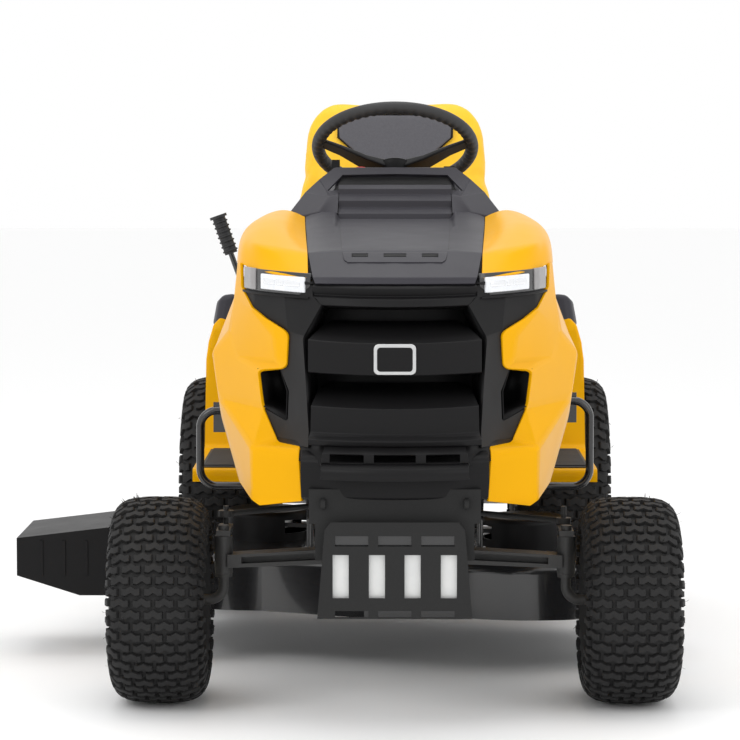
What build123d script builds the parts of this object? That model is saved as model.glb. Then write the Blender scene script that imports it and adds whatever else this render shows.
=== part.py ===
from build123d import *
import math
import os

# Riding lawn mower with a twin-blade deck. Millimetres. X is across (minus X is the driver's right),
# Y runs from front to back and Z is up. The pieces are built around the middle of the front axle on the
# ground, then moved together so that the origin is under the middle of the whole machine.

# ---- driving sizes: wheels ----
WHEELBASE = 1230.0
FRONT_TRACK = 864.0
REAR_TRACK = 734.0
FRONT_TYRE_DIA = 381.0
FRONT_TYRE_WIDTH = 168.0
FRONT_RIM_DIA = 152.4
REAR_TYRE_DIA = 508.0
REAR_TYRE_WIDTH = 203.0
REAR_RIM_DIA = 203.2
TYRE_WALL = 9.0
RIM_LIP = 12.0
AXLE_DIA = 19.05
REAR_HUB_HALF = 62.0
FRONT_HUB_HALF = 52.0

# ---- driving sizes: frame ----
RAIL_SPACING = 300.0
RAIL_FLANGE = 35.0
RAIL_HEIGHT = 60.0
RAIL_BOTTOM = 370.0
PLATE = 4.0
FRAME_FRONT = -300.0
FRAME_BACK = 1404.0
RUN_FIT = 0.06
GAP = 0.5

# ---- driving sizes: front axle and steering ----
KINGPIN_SPACING = 632.0
KINGPIN_DIA = 20.0
HOUSING_BOTTOM = 240.0
HOUSING_TOP = 309.0
AXLE_PIVOT_Z = 288.0
AXLE_PIVOT_DIA = 24.0
STEER_ARM = 85.0
SECTOR_Y = 235.0
SECTOR_Z = 353.0
SECTOR_HUB_BOTTOM = 322.0
SECTOR_HUB_RADIUS = 13.0
SECTOR_STUD_RADIUS = 4.0
LINK_PLAY = 9.0
LINK_EYE_RADIUS = 19.0
LINK_DIA = 14.0
WHEEL_RIM_RADIUS = 171.0
WHEEL_RIM_THICK = 28.0
COLUMN_TILT = 30.0
STEERING_WHEEL_Y = 660.0
STEERING_WHEEL_Z = 1032.0
STEERING_SHAFT_DIA = 19.0
SHAFT_END_Z = 376.0
PINION_RADIUS = 14.0

# ---- driving sizes: hood, dash and fender ----
HOOD_WALL = 8.0
HOOD_BOTTOM = 395.0
HOOD_HALF_WIDTH = 342.0
HOOD_BACK = 430.0
HOOD_HINGE_Y = -306.0
HOOD_HINGE_Z = 405.0
HOOD_PIN_RADIUS = 5.0
HOOD_EAR_X = 125.0
HOOD_FOOT_Z = 412.0
COVER_HALF_WIDTH = 158.0
COVER_Z = 786.0
GRILLE_HALF_WIDTH = 152.0
GRILLE_TOP = 757.0
DASH_HALF_WIDTH = 172.0
DASH_WALL = 4.0
FENDER_HALF_WIDTH = 407.0
FENDER_SHEET = 5.0
BOARD_FRONT = 500.0
BOARD_Z = 378.0
FENDER_TOP = 668.0
FENDER_BACK = 1486.0
ARCH_CLEARANCE = 32.0

# ---- driving sizes: engine and tank ----
ENGINE_Y = 130.0
CRANK_BOTTOM = 384.0
CAP_X = 330.0
CAP_Y = 1140.0

# ---- driving sizes: deck ----
BLADE_LENGTH = 520.0
BLADE_X = 265.0
BLADE_LEFT_Y = 580.0
BLADE_STAGGER = 120.0
DECK_BOTTOM = 103.0
DECK_TOP = 215.0
DECK_SHEET = 4.0
DECK_DROP = 65.0
LOBE_RADIUS = 281.0
MANDREL_DIA = 24.0
PULLEY_RADIUS = 62.0
BELT_DEPTH = 10.0
GAUGE_WHEEL_RADIUS = 60.0
GAUGE_WHEEL_WIDTH = 32.0
CHUTE_ROOT = 560.0
CHUTE_REACH = 760.0
CHUTE_FRONT = 480.0
CHUTE_BACK = 760.0
CHUTE_PIVOT_Z = 232.0
GAUGE_Z = 132.0
# middle X, axle Y and the deck's front edge there, left wheel first
GAUGE_WHEELS = ((500.0, 310.0, 405.0), (-420.0, 392.0, 470.0))

# ---- driving sizes: seat and controls ----
SEAT_HALF_WIDTH = 205.0
SEAT_FRONT = 890.0
SEAT_HINGE_Z = 690.0
SEAT_TOP = 1122.0
LIFT_PIVOT_Y = 1050.0
LIFT_PIVOT_Z = 446.0
LIFT_SHAFT_RADIUS = 10.0
LEVER_BEND = (-322.0, 690.0)
LEVER_TOP = (-386.0, 872.0)
PEDAL_PIVOT_Y = 452.0
PEDAL_PIVOT_Z = 349.0
REVERSE_PIVOT_Y = 490.0
PEDAL_ROD_DIA = 16.0
HITCH_HOLE_DIA = 13.0
KEY_X = 110.0
KNOB_X = -70.0
THROTTLE_X = -120.0

# ---- worked out from the sizes above ----
HITCH_END = FRAME_BACK + 76
HITCH_Y = FRAME_BACK + 52
SEAT_HINGE_Y = SEAT_FRONT + 96
RAIL_OUT = RAIL_SPACING / 2
RAIL_TOP = RAIL_BOTTOM + RAIL_HEIGHT
KINGPIN_X = KINGPIN_SPACING / 2
FRONT_HUB_Z = FRONT_TYRE_DIA / 2
REAR_HUB_Z = REAR_TYRE_DIA / 2
FRONT_HUB_X = FRONT_TRACK / 2
REAR_HUB_X = REAR_TRACK / 2
BLADE_RIGHT_Y = BLADE_LEFT_Y + BLADE_STAGGER
PULLEY_Z = DECK_TOP + 33.0
COLUMN_AXIS = (0.0, math.sin(math.radians(COLUMN_TILT)), math.cos(math.radians(COLUMN_TILT)))


# ---- shape helpers ----
def block(x, y, z):
    """A box from three (low, high) pairs."""
    middle = [(low + high) / 2 for low, high in (x, y, z)]
    return Pos(*middle) * Box(x[1] - x[0], y[1] - y[0], z[1] - z[0])


def rod_x(x, y, z, radius):
    """A round bar along X."""
    return Pos((x[0] + x[1]) / 2, y, z) * Rot(0, 90, 0) * Cylinder(radius, x[1] - x[0])


def rod_y(x, y, z, radius):
    """A round bar along Y."""
    return Pos(x, (y[0] + y[1]) / 2, z) * Rot(90, 0, 0) * Cylinder(radius, y[1] - y[0])


def rod_z(x, y, z, radius):
    """A round bar along Z."""
    return Pos(x, y, (z[0] + z[1]) / 2) * Cylinder(radius, z[1] - z[0])


def outline(points):
    return make_face(Polyline(*points, close=True))


def side_face(points, x):
    """A face in the YZ plane at x, from (y, z) points."""
    return Plane.YZ.offset(x) * outline(points)


def side_prism(points, x):
    return extrude(side_face(points, x[0]), amount=x[1] - x[0])


def front_prism(points, y):
    """A prism along Y, from (x, z) points."""
    return extrude(Plane.XZ.offset(-y[0]) * outline(points), amount=-(y[1] - y[0]))


def plan_prism(points, z):
    return extrude(Plane.XY.offset(z[0]) * outline(points), amount=z[1] - z[0])


def both_sides(points):
    """Closes a list of right-hand (x, v) points with their mirror image."""
    return points + [(-x, v) for x, v in reversed(points) if x != 0]


def bent_rod(points, radius, bend):
    """A round bar along straight runs joined by bends."""
    path = FilletPolyline(*points, radius=bend)
    start = Plane(origin=path @ 0, z_dir=path % 0)
    return sweep(start * Circle(radius), path=path)


def on_column(distance):
    """The plane square to the steering column, this far up from the wheel's centre."""
    origin = Vector(0, STEERING_WHEEL_Y, STEERING_WHEEL_Z) + Vector(*COLUMN_AXIS) * distance
    return Plane(origin=origin, x_dir=(1, 0, 0), z_dir=COLUMN_AXIS)


def column_y(z):
    """Where the steering column's axis is at a height."""
    return STEERING_WHEEL_Y - (STEERING_WHEEL_Z - z) * math.tan(math.radians(COLUMN_TILT))


def other_side(part):
    return part.mirror(Plane.YZ)


# ---- frame ----
def frame_rails():
    rail = block((RAIL_OUT - RAIL_FLANGE, RAIL_OUT), (FRAME_FRONT, FRAME_BACK), (RAIL_BOTTOM, RAIL_TOP))
    rail -= block((RAIL_OUT - RAIL_FLANGE - 1, RAIL_OUT - PLATE), (FRAME_FRONT - 1, FRAME_BACK + 1),
                  (RAIL_BOTTOM + PLATE, RAIL_TOP - PLATE))
    frame = rail + other_side(rail)
    for y in (FRAME_FRONT, FRAME_BACK - PLATE):
        frame += block((-RAIL_OUT, RAIL_OUT), (y, y + PLATE), (RAIL_BOTTOM, RAIL_TOP))
    low_plates = ((-45, 45), (SECTOR_Y - 22, SECTOR_Y + 12), (820, 880))
    for y in low_plates:
        frame += block((-RAIL_OUT, RAIL_OUT), y, (RAIL_BOTTOM, RAIL_BOTTOM + PLATE))
    high_plates = ((-30, 285), (590, 640), (1110, 1170), (1340, 1400))
    for y in high_plates:
        frame += block((-RAIL_OUT, RAIL_OUT), y, (RAIL_TOP - PLATE, RAIL_TOP))
    for y in (-36, 36 - PLATE):
        frame += block((-48, 48), (y, y + PLATE), (AXLE_PIVOT_Z - 24, RAIL_BOTTOM + PLATE))
    frame += rod_y(0, (-44, 44), AXLE_PIVOT_Z, AXLE_PIVOT_DIA / 2)
    frame += rod_z(0, SECTOR_Y, (SECTOR_HUB_BOTTOM, RAIL_BOTTOM + 1), 7)
    frame -= rod_z(0, ENGINE_Y, (RAIL_BOTTOM - 10, RAIL_TOP + 10), 16)
    for x in (-125, 125):
        frame += block((x - 14, x + 14), (FRAME_FRONT, FRAME_FRONT + PLATE), (305, RAIL_BOTTOM + 1))
    frame += pedal_brackets()
    for x in (-HOOD_EAR_X, HOOD_EAR_X):
        frame += hood_ear(x)
    for x in (-RAIL_OUT + 6, RAIL_OUT - 6 - PLATE):
        ear = block((x, x + PLATE), (LIFT_PIVOT_Y - 20, LIFT_PIVOT_Y + 20), (RAIL_TOP - 1, LIFT_PIVOT_Z + 16))
        frame += ear - rod_x((x - 1, x + PLATE + 1), LIFT_PIVOT_Y, LIFT_PIVOT_Z, LIFT_SHAFT_RADIUS + RUN_FIT)
    return frame


def hood_ear(x):
    """Ear on the frame's front plate, bored for the hood's hinge rod."""
    reach = HOOD_PIN_RADIUS + 4
    ear = rod_x((x - 4, x + 4), HOOD_HINGE_Y, HOOD_HINGE_Z, reach)
    ear_z = (HOOD_HINGE_Z - reach, HOOD_HINGE_Z + reach)
    ear += block((x - 4, x + 4), (HOOD_HINGE_Y, FRAME_FRONT + 1), ear_z)
    return ear - rod_x((x - 5, x + 5), HOOD_HINGE_Y, HOOD_HINGE_Z, HOOD_PIN_RADIUS + RUN_FIT)


def pedal_brackets():
    """Plates under both rails that carry the pedal shafts."""
    low_z = PEDAL_PIVOT_Z - 14
    plates = Part()
    for side in (-1, 1):
        for x in (RAIL_OUT - RAIL_FLANGE + 3, RAIL_OUT - PLATE - 4):
            ends = sorted((side * x, side * (x + PLATE)))
            plate = block(ends, (PEDAL_PIVOT_Y - 14, REVERSE_PIVOT_Y + 14), (low_z, RAIL_BOTTOM + 1))
            for y in (PEDAL_PIVOT_Y, REVERSE_PIVOT_Y):
                plate -= rod_x((ends[0] - 1, ends[1] + 1), y, PEDAL_PIVOT_Z, PEDAL_ROD_DIA / 2 + RUN_FIT)
            plates += plate
    return plates


def bumper_plate():
    """Bent sheet with cooling slots, hung from the front of the frame."""
    top_z, bend_z, bottom_z = 375, 226, 206
    face_y = FRAME_FRONT - 24
    shape = both_sides([(0, top_z), (111, top_z), (122, top_z - 14), (135, bottom_z), (0, bottom_z)])
    plate = front_prism(shape, (face_y, face_y + PLATE))
    for x in (-75, 0, 75):
        plate -= block((x - 29, x + 29), (face_y - 1, face_y + PLATE + 1), (333, 351))
        plate -= block((x - 29, x + 29), (face_y - 1, face_y + PLATE + 1), (209, 220))
    for x in (-94, -31, 31, 94):
        plate -= block((x - 14, x + 14), (face_y - 1, face_y + PLATE + 1), (bend_z + 16, 318))
    for x in (-125, 125):
        ends = sorted((x, x * 0.8))
        plate += block(ends, (face_y, FRAME_FRONT), (top_z - 50, top_z - 44))
        plate += block(ends, (FRAME_FRONT - PLATE, FRAME_FRONT), (top_z - 60, top_z - 44))
    return plate


def hitch_plate():
    plate = block((-65, 65), (FRAME_BACK, FRAME_BACK + 6), (372, 428))
    plate += block((-60, 60), (FRAME_BACK, HITCH_END), (372, 380))
    return plate - rod_z(0, HITCH_Y, (360, 390), HITCH_HOLE_DIA / 2)


# ---- engine, drive and tank ----
def engine_block():
    case = rod_z(0, ENGINE_Y, (RAIL_TOP, 560), 118)
    case += block((-70, 70), (ENGINE_Y - 230, ENGINE_Y - 60), (460, 560))
    case += rod_z(0, ENGINE_Y, (CRANK_BOTTOM, RAIL_TOP + 1), 12)
    return case


def engine_shroud():
    shroud = rod_z(0, ENGINE_Y, (560, 690), 150)
    shroud += block((-95, 95), (ENGINE_Y - 235, ENGINE_Y - 40), (560, 650))
    top_edges = shroud.edges().group_by(Axis.Z)[-1]
    return fillet(top_edges, 14)


def muffler():
    body = rod_x((-105, 105), -205, 510, 42)
    pipe = rod_y(40, (-172, ENGINE_Y - 230), 510, 14)
    return body + pipe


def engine_pulley():
    bottom = CRANK_BOTTOM - 62
    pulley = rod_z(0, ENGINE_Y, (bottom, bottom + 16), PULLEY_RADIUS)
    pulley -= rod_z(0, ENGINE_Y, (bottom + 3, bottom + 13), PULLEY_RADIUS + 1) - rod_z(
        0, ENGINE_Y, (bottom + 3, bottom + 13), PULLEY_RADIUS - BELT_DEPTH)
    return pulley + rod_z(0, ENGINE_Y, (bottom + 15, CRANK_BOTTOM - GAP), 16)


def battery():
    case = block((-150, 40), (1110, 1240), (RAIL_TOP, 600))
    for x in (-120, 10):
        case += rod_z(x, 1140, (600, 616), 8)
    return case


def fuel_tank():
    tank = block((60, 380), (1090, 1380), (548, 640))
    tank = fillet(tank.edges().filter_by(Axis.Z), 30)
    neck = rod_z(CAP_X, CAP_Y, (620, FENDER_TOP + 6), 24)
    return tank + neck


def fuel_cap():
    low = FENDER_TOP + 6 + GAP
    cap = rod_z(CAP_X, CAP_Y, (low, low + 22), 36)
    return fillet(cap.edges().group_by(Axis.Z)[-1], 5)


def transaxle():
    y = WHEELBASE
    case = block((-70, 70), (y - 90, y + 80), (172, 350))
    case += rod_x((-REAR_HUB_X + REAR_HUB_HALF + 12, REAR_HUB_X - REAR_HUB_HALF - 12), y, REAR_HUB_Z, 34)
    case += block((-RAIL_OUT, RAIL_OUT), (y - 45, y + 45), (340, RAIL_BOTTOM))
    bore = AXLE_DIA / 2 + RUN_FIT
    case -= rod_x((-REAR_HUB_X, -20), y, REAR_HUB_Z, bore)
    case -= rod_x((20, REAR_HUB_X), y, REAR_HUB_Z, bore)
    return case


# ---- wheels ----
def ring_around_x(points, x, y, z):
    """Turns (distance along X, radius) points round a wheel's axle."""
    face = Plane(origin=(x, y, z), x_dir=(1, 0, 0), z_dir=(0, -1, 0)) * outline(points)
    return revolve(face, Axis((x, y, z), (1, 0, 0)))


def rim(x, y, z, rim_radius, seat_half, hub_half, bore):
    """Pressed wheel with bead seats, a dished centre disc and a hub tube."""
    wall = 3.5
    lip = rim_radius + RIM_LIP
    disc = rim_radius * 0.30
    drop = rim_radius - 16
    profile = [
        (-hub_half, bore), (hub_half, bore), (hub_half, bore + 12), (disc / 2, bore + 12),
        (disc / 2, drop - wall), (seat_half - 18, drop - wall), (seat_half - 8, rim_radius - wall),
        (seat_half, rim_radius - wall), (seat_half, lip), (seat_half - wall, lip),
        (seat_half - wall, rim_radius), (seat_half - 10, rim_radius), (seat_half - 20, drop),
        (-seat_half + 20, drop), (-seat_half + 10, rim_radius), (-seat_half + wall, rim_radius),
        (-seat_half + wall, lip), (-seat_half, lip), (-seat_half, rim_radius - wall),
        (-seat_half + 8, rim_radius - wall), (-seat_half + 18, drop - wall), (disc / 2 - 5, drop - wall),
        (disc / 2 - 5, bore + 12), (-hub_half, bore + 12)]
    return ring_around_x(profile, x, y, z)


def tyre(x, y, z, radius, width, rim_radius, seat_half):
    """Hollow tyre: rounded section, flat-crowned tread and beads on the rim's seats."""
    half = width / 2
    bead = seat_half - 3.5 - 0.05
    shoulder = radius - 26
    middle = (radius + rim_radius) / 2 - 4
    lip = rim_radius + RIM_LIP + 2
    outer = [(bead, rim_radius), (bead, lip), (half - 3, middle - 22), (half, middle + 4), (half - 6, shoulder),
             (half - 26, radius - 7), (half * 0.45, radius), (-half * 0.45, radius), (26 - half, radius - 7),
             (6 - half, shoulder), (-half, middle + 4), (3 - half, middle - 22), (-bead, lip),
             (-bead, rim_radius)]
    w = TYRE_WALL
    inner = [(-bead + w + 2, rim_radius), (-bead + w + 2, lip), (3 - half + w, middle - 18), (w - half, middle + 2),
             (6 - half + w, shoulder - 6), (26 - half, radius - 7 - w), (-half * 0.45, radius - w),
             (half * 0.45, radius - w), (half - 26, radius - 7 - w), (half - 6 - w, shoulder - 6),
             (half - w, middle + 2), (half - 3 - w, middle - 18),
             (bead - w - 2, lip), (bead - w - 2, rim_radius)]
    return ring_around_x(outer + inner, x, y, z)


def front_rim(side):
    return rim(side * FRONT_HUB_X, 0, FRONT_HUB_Z, FRONT_RIM_DIA / 2, 58, FRONT_HUB_HALF,
               AXLE_DIA / 2 + RUN_FIT)


def front_tyre(side):
    return tyre(side * FRONT_HUB_X, 0, FRONT_HUB_Z, FRONT_TYRE_DIA / 2, FRONT_TYRE_WIDTH,
                FRONT_RIM_DIA / 2, 58)


def rear_rim(side):
    return rim(side * REAR_HUB_X, WHEELBASE, REAR_HUB_Z, REAR_RIM_DIA / 2, 74, REAR_HUB_HALF,
               AXLE_DIA / 2)


def rear_tyre(side):
    return tyre(side * REAR_HUB_X, WHEELBASE, REAR_HUB_Z, REAR_TYRE_DIA / 2, REAR_TYRE_WIDTH,
                REAR_RIM_DIA / 2, 74)


def rear_axle(side):
    ends = sorted((side * 24, side * (REAR_HUB_X + REAR_HUB_HALF + 8)))
    return rod_x(ends, WHEELBASE, REAR_HUB_Z, AXLE_DIA / 2)


# ---- front axle and steering ----
def front_axle():
    end_x = KINGPIN_X - 8
    shape = both_sides([
        (0, 302), (46, 300), (70, 290), (end_x, 276), (end_x, 252), (70, 262), (46, 268), (0, 268)])
    beam = front_prism(shape, (-24, 24))
    pocket = [(84, 284), (end_x - 26, 272), (end_x - 26, 260), (84, 270)]
    for y in ((-25, -6), (6, 25)):
        for points in (pocket, [(-x, z) for x, z in pocket]):
            beam -= front_prism(points, y)
    beam += rod_y(0, (-30, 30), AXLE_PIVOT_Z, 23)
    beam -= rod_y(0, (-31, 31), AXLE_PIVOT_Z, AXLE_PIVOT_DIA / 2 + RUN_FIT)
    for side in (-1, 1):
        beam += rod_z(side * KINGPIN_X, 0, (HOUSING_BOTTOM, HOUSING_TOP), 17)
    for side in (-1, 1):
        beam -= rod_z(side * KINGPIN_X, 0, (HOUSING_BOTTOM - 1, HOUSING_TOP + 1), KINGPIN_DIA / 2 + RUN_FIT)
    return beam


def spindle(side):
    """Kingpin bent outward into the wheel's stub axle, with the steering arm on top."""
    x = side * KINGPIN_X
    kingpin_top = HOUSING_TOP + 20
    end_x = side * (FRONT_HUB_X + FRONT_HUB_HALF + 10)
    rod = bent_rod([(x, 0, kingpin_top), (x, 0, FRONT_HUB_Z), (end_x, 0, FRONT_HUB_Z)], AXLE_DIA / 2, 26)
    rod += rod_z(x, 0, (HOUSING_BOTTOM - 8, kingpin_top), KINGPIN_DIA / 2)
    rod += rod_z(x, 0, (HOUSING_BOTTOM - 7, HOUSING_BOTTOM - GAP), 16)
    inner = side * (FRONT_HUB_X - FRONT_HUB_HALF)
    rod += rod_x(sorted((inner - side * 6, inner - side * GAP)), 0, FRONT_HUB_Z, 15)
    arm_z = (HOUSING_TOP + GAP, HOUSING_TOP + 11)
    rod += block((x - 13, x + 13), (-14, STEER_ARM), arm_z)
    rod += rod_z(x, STEER_ARM, arm_z, 13)
    return rod + rod_z(x, STEER_ARM, (arm_z[1] - 1, arm_z[1] + 34), 5)


def link_heights(side):
    """The two links share the sector's stud, so one lies above the other."""
    low = HOUSING_TOP + 11 + GAP
    return (low, low + 12) if side > 0 else (low + 13, low + 25)


def drag_link(side):
    """Steering link: an eye on the arm's ball stud and a loose eye round the sector's stud."""
    low, high = link_heights(side)
    z = (low + high) / 2
    x = side * KINGPIN_X
    stud_y = SECTOR_Y + STEER_ARM
    outer = Vector(x, STEER_ARM, z)
    inner = Vector(0, stud_y, z)
    along = (inner - outer).normalized()
    run = Plane(origin=outer + along * 8, z_dir=along)
    rod = extrude(run * Circle(LINK_DIA / 2 - 1.5), amount=(inner - outer).length - 20)
    rod += rod_z(x, STEER_ARM, (low, high), 14)
    rod += rod_z(0, stud_y, (low, high), LINK_EYE_RADIUS)
    rod -= rod_z(x, STEER_ARM, (low - 1, high + 1), 5 + RUN_FIT)
    return rod - rod_z(0, stud_y, (low - 1, high + 1), SECTOR_STUD_RADIUS + LINK_PLAY)


def sector_gear():
    """Sector plate with face teeth under the pinion and a stud for both links."""
    hub = rod_z(0, SECTOR_Y, (SECTOR_HUB_BOTTOM + 8, RAIL_BOTTOM - GAP), SECTOR_HUB_RADIUS)
    plate = rod_z(0, SECTOR_Y, (SECTOR_Z, SECTOR_Z + 6), 62)
    plate &= block((-70, 70), (SECTOR_Y - 12, SECTOR_Y + 70), (SECTOR_Z, SECTOR_Z + 6))
    plate += block((-13, 13), (SECTOR_Y, SECTOR_Y + STEER_ARM), (SECTOR_Z, SECTOR_Z + 6))
    plate += rod_z(0, SECTOR_Y + STEER_ARM, (SECTOR_Z, SECTOR_Z + 6), 13)
    stud_low = HOUSING_TOP + 6
    plate += rod_z(0, SECTOR_Y + STEER_ARM, (stud_low, SECTOR_Z + 1), SECTOR_STUD_RADIUS)
    for step in range(-5, 6):
        tooth = block((-2, 2), (46, 60), (SECTOR_Z + 5, SECTOR_Z + 10))
        plate += Pos(0, SECTOR_Y, 0) * Rot(0, 0, step * 12) * tooth
    part = plate + hub
    return part - rod_z(0, SECTOR_Y, (SECTOR_HUB_BOTTOM, RAIL_BOTTOM), 7 + RUN_FIT)


def steering_shaft():
    """Column from the wheel's hub down to the pinion over the sector."""
    length = (STEERING_WHEEL_Z - SHAFT_END_Z) / COLUMN_AXIS[2]
    shaft = extrude(on_column(-length) * Circle(STEERING_SHAFT_DIA / 2), amount=length + 8)
    pinion = extrude(on_column(-length) * Circle(PINION_RADIUS), amount=16)
    for step in range(10):
        tooth = on_column(-length) * Rot(0, 0, step * 36) * Pos(PINION_RADIUS, 0, 8) * Box(4, 3, 16)
        pinion += tooth
    return shaft + pinion


def steering_wheel():
    """Thick-rimmed wheel with three spokes and a hub cup."""
    rim_ring = on_column(0) * Torus(WHEEL_RIM_RADIUS - WHEEL_RIM_THICK / 2, WHEEL_RIM_THICK / 2)
    hub = on_column(-32) * Cylinder(38, 44, align=(Align.CENTER, Align.CENTER, Align.MIN))
    wheel = rim_ring + hub
    spoke_length = WHEEL_RIM_RADIUS - WHEEL_RIM_THICK / 2 - 20
    for angle in (90, 210, 330):
        spoke = Pos(20 + spoke_length / 2, 0, -6) * Box(spoke_length, 34, 9)
        wheel += on_column(0) * Rot(0, 0, angle) * spoke
    return wheel - on_column(-12) * Cylinder(STEERING_SHAFT_DIA / 2, 42)


# ---- hood ----
def hood_solid(inset):
    """The hood's outside, as three crossing prisms, drawn in by a wall where inset isn't 0."""
    low = HOOD_BOTTOM
    wide = HOOD_HALF_WIDTH
    front = both_sides([
        (0, 922), (120, 918), (176, 908), (235, 900), (264, 874), (288, 843), (292, 770), (312, 700),
        (wide, 649), (wide - 16, 526), (286, 411), (262, low)])
    side = [
        (-322, low), (-328, 470), (-312, 560), (-290, 650), (-262, 735), (-222, 790), (-120, 848), (120, 884),
        (HOOD_BACK - 15, 916), (HOOD_BACK, 900), (HOOD_BACK - 30, 700), (300, low)]
    plan = [
        (172, -330), (198, -240), (250, -150), (290, -40), (wide, 110), (wide + 6, HOOD_BACK)]
    plan = plan + [(-x, y) for x, y in reversed(plan)]
    faces = [outline(front), outline(side), outline(plan)]
    if inset:
        faces = [offset(face, amount=-inset, kind=Kind.INTERSECTION) for face in faces]
        deep = Rectangle(520 - 2 * inset, 3 * inset)
        faces[0] += Pos(0, low) * deep
        faces[1] += Pos((300 - 322) / 2, low) * Rectangle(600 - 2 * inset, 3 * inset)
        faces[1] += outline([(260, low - inset), (340, low - inset), (HOOD_BACK + 20, 700),
                             (HOOD_BACK + 20, 860), (HOOD_BACK - 30, 860), (HOOD_BACK - 60, 700)])
        faces[2] += Pos(0, HOOD_BACK) * Rectangle(2 * (wide - inset), 3 * inset)
    reach = 900
    solid = extrude(Plane.XZ.offset(-reach) * faces[0], amount=2 * reach)
    solid &= extrude(Plane.YZ.offset(-reach) * faces[1], amount=2 * reach)
    return solid & extrude(Plane.XY * faces[2], amount=1200)


def hood_shell():
    return hood_solid(0) - hood_solid(HOOD_WALL)


def cover_mask():
    """The region of the centre top cover."""
    points = both_sides([(0, 1000), (COVER_HALF_WIDTH, 1000), (COVER_HALF_WIDTH, COVER_Z), (0, COVER_Z)])
    return front_prism(points, (-400, 600))


def grille_mask():
    return block((-GRILLE_HALF_WIDTH, GRILLE_HALF_WIDTH), (-400, -150), (300, GRILLE_TOP))


def shoulder_mask():
    """The region of the yellow shoulders beside the cover."""
    return block((-500, 500), (-400, 600), (GRILLE_TOP, 1000)) - cover_mask()


def lens_shape():
    return block((166, 236), (-240, -90), (765, 793)) & hood_solid(2)


def headlight_lenses():
    lens = lens_shape()
    return lens + other_side(lens)


def hood_pieces():
    shell = hood_shell()
    lenses = headlight_lenses()
    cover = shell & cover_mask()
    grille = (shell & grille_mask()) - grille_openings() - grille_foot() + hood_hinge_rod()
    shoulders = (shell & shoulder_mask()) - lenses
    sides = shell - cover_mask() - grille_mask() - shoulder_mask() - lenses - hood_tunnel()
    return cover, shoulders, sides, grille


def grille_foot():
    """The strip under the grille that would sweep through the frame as the hood tilts."""
    return block((-170, 170), (-400, -290), (390, HOOD_FOOT_Z))


def hood_hinge_rod():
    """Rod the hood tilts on, held by two brackets inside the grille."""
    rod = rod_x((-140, 140), HOOD_HINGE_Y, HOOD_HINGE_Z, HOOD_PIN_RADIUS)
    for x in (-HOOD_EAR_X + 10, HOOD_EAR_X - 10):
        rod += block((x - 3, x + 3), (-318, HOOD_HINGE_Y + 3), (HOOD_HINGE_Z - 3, HOOD_FOOT_Z + 8))
    return rod


def hood_tunnel():
    """The space between the side panels, behind the grille."""
    half = GRILLE_HALF_WIDTH
    return block((-half, half), (-400, 600), (300, GRILLE_TOP))


def grille_openings():
    """Air gaps between the grille's slats."""
    gaps = Part()
    for low, high in ((604, 630), (700, 734)):
        gaps += block((-128, 128), (-400, -120), (low, high))
    for x in (-84, 0, 84):
        gaps += block((x - 34, x + 34), (-400, -120), (482, 500))
    return gaps


# ---- dash ----
def dash_tower():
    """Hollow tower that carries the steering column and the controls."""
    base = RAIL_TOP
    run = math.tan(math.radians(COLUMN_TILT))
    front_y = column_y(base) - 24
    knee_z = base + (HOOD_BACK + 14 - front_y) / run
    side = [
        (front_y, base), (HOOD_BACK + 14, knee_z), (HOOD_BACK + 14, 905), (500, 978), (540, 985),
        (648, 926), (656, 890), (600, 640), (560, base)]
    outer = side_prism(side, (-DASH_HALF_WIDTH, DASH_HALF_WIDTH))
    inner_face = offset(outline(side), amount=-DASH_WALL, kind=Kind.INTERSECTION)
    inner_half = DASH_HALF_WIDTH - DASH_WALL
    inner = extrude(Plane.YZ.offset(-inner_half) * inner_face, amount=2 * inner_half)
    inner += block((-inner_half, inner_half), (front_y + 12, 552), (base - 1, base + 2 * DASH_WALL))
    inner &= block((-inner_half, inner_half), (0, 800), (base - 1, 1000))
    tower = outer - inner
    tower += on_column(-100) * Cylinder(18, 52, align=(Align.CENTER, Align.CENTER, Align.MIN))
    tower -= on_column(-90) * Cylinder(STEERING_SHAFT_DIA / 2 + RUN_FIT, 120)
    tower -= panel_plane(THROTTLE_X, 0) * Box(10, 70, 40)
    tower -= panel_plane(KEY_X, 0) * Cylinder(9 + RUN_FIT, 60)
    tower -= panel_plane(KNOB_X, 0) * Cylinder(6 + RUN_FIT, 60)
    return tower


def panel_plane(x, height):
    """A point on the sloping dash panel, with +Z square to it."""
    direction = Vector(0, 59, 108).normalized()
    origin = Vector(x, 594, 955.5) + direction * height
    return Plane(origin=origin, x_dir=(1, 0, 0), z_dir=direction)


def ignition_key():
    barrel = panel_plane(KEY_X, -18) * Cylinder(9, 18 + GAP, align=(Align.CENTER, Align.CENTER, Align.MIN))
    collar = panel_plane(KEY_X, GAP) * Cylinder(14, 4, align=(Align.CENTER, Align.CENTER, Align.MIN))
    grip = panel_plane(KEY_X, 4) * Pos(0, 0, 14) * Box(22, 4, 28)
    return barrel + collar + grip


def pto_knob():
    stem = panel_plane(KNOB_X, -20) * Cylinder(6, 32, align=(Align.CENTER, Align.CENTER, Align.MIN))
    head = panel_plane(KNOB_X, 6) * Cylinder(17, 18, align=(Align.CENTER, Align.CENTER, Align.MIN))
    return stem + head


def throttle_lever():
    pivot = panel_plane(THROTTLE_X, -22) * Rot(0, 90, 0) * Cylinder(7, 8)
    arm = panel_plane(THROTTLE_X, -22) * Pos(0, 0, 24) * Box(4, 10, 48)
    grip = panel_plane(THROTTLE_X, 18) * Pos(0, 0, 12) * Box(16, 22, 24)
    return pivot + arm + grip


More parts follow.
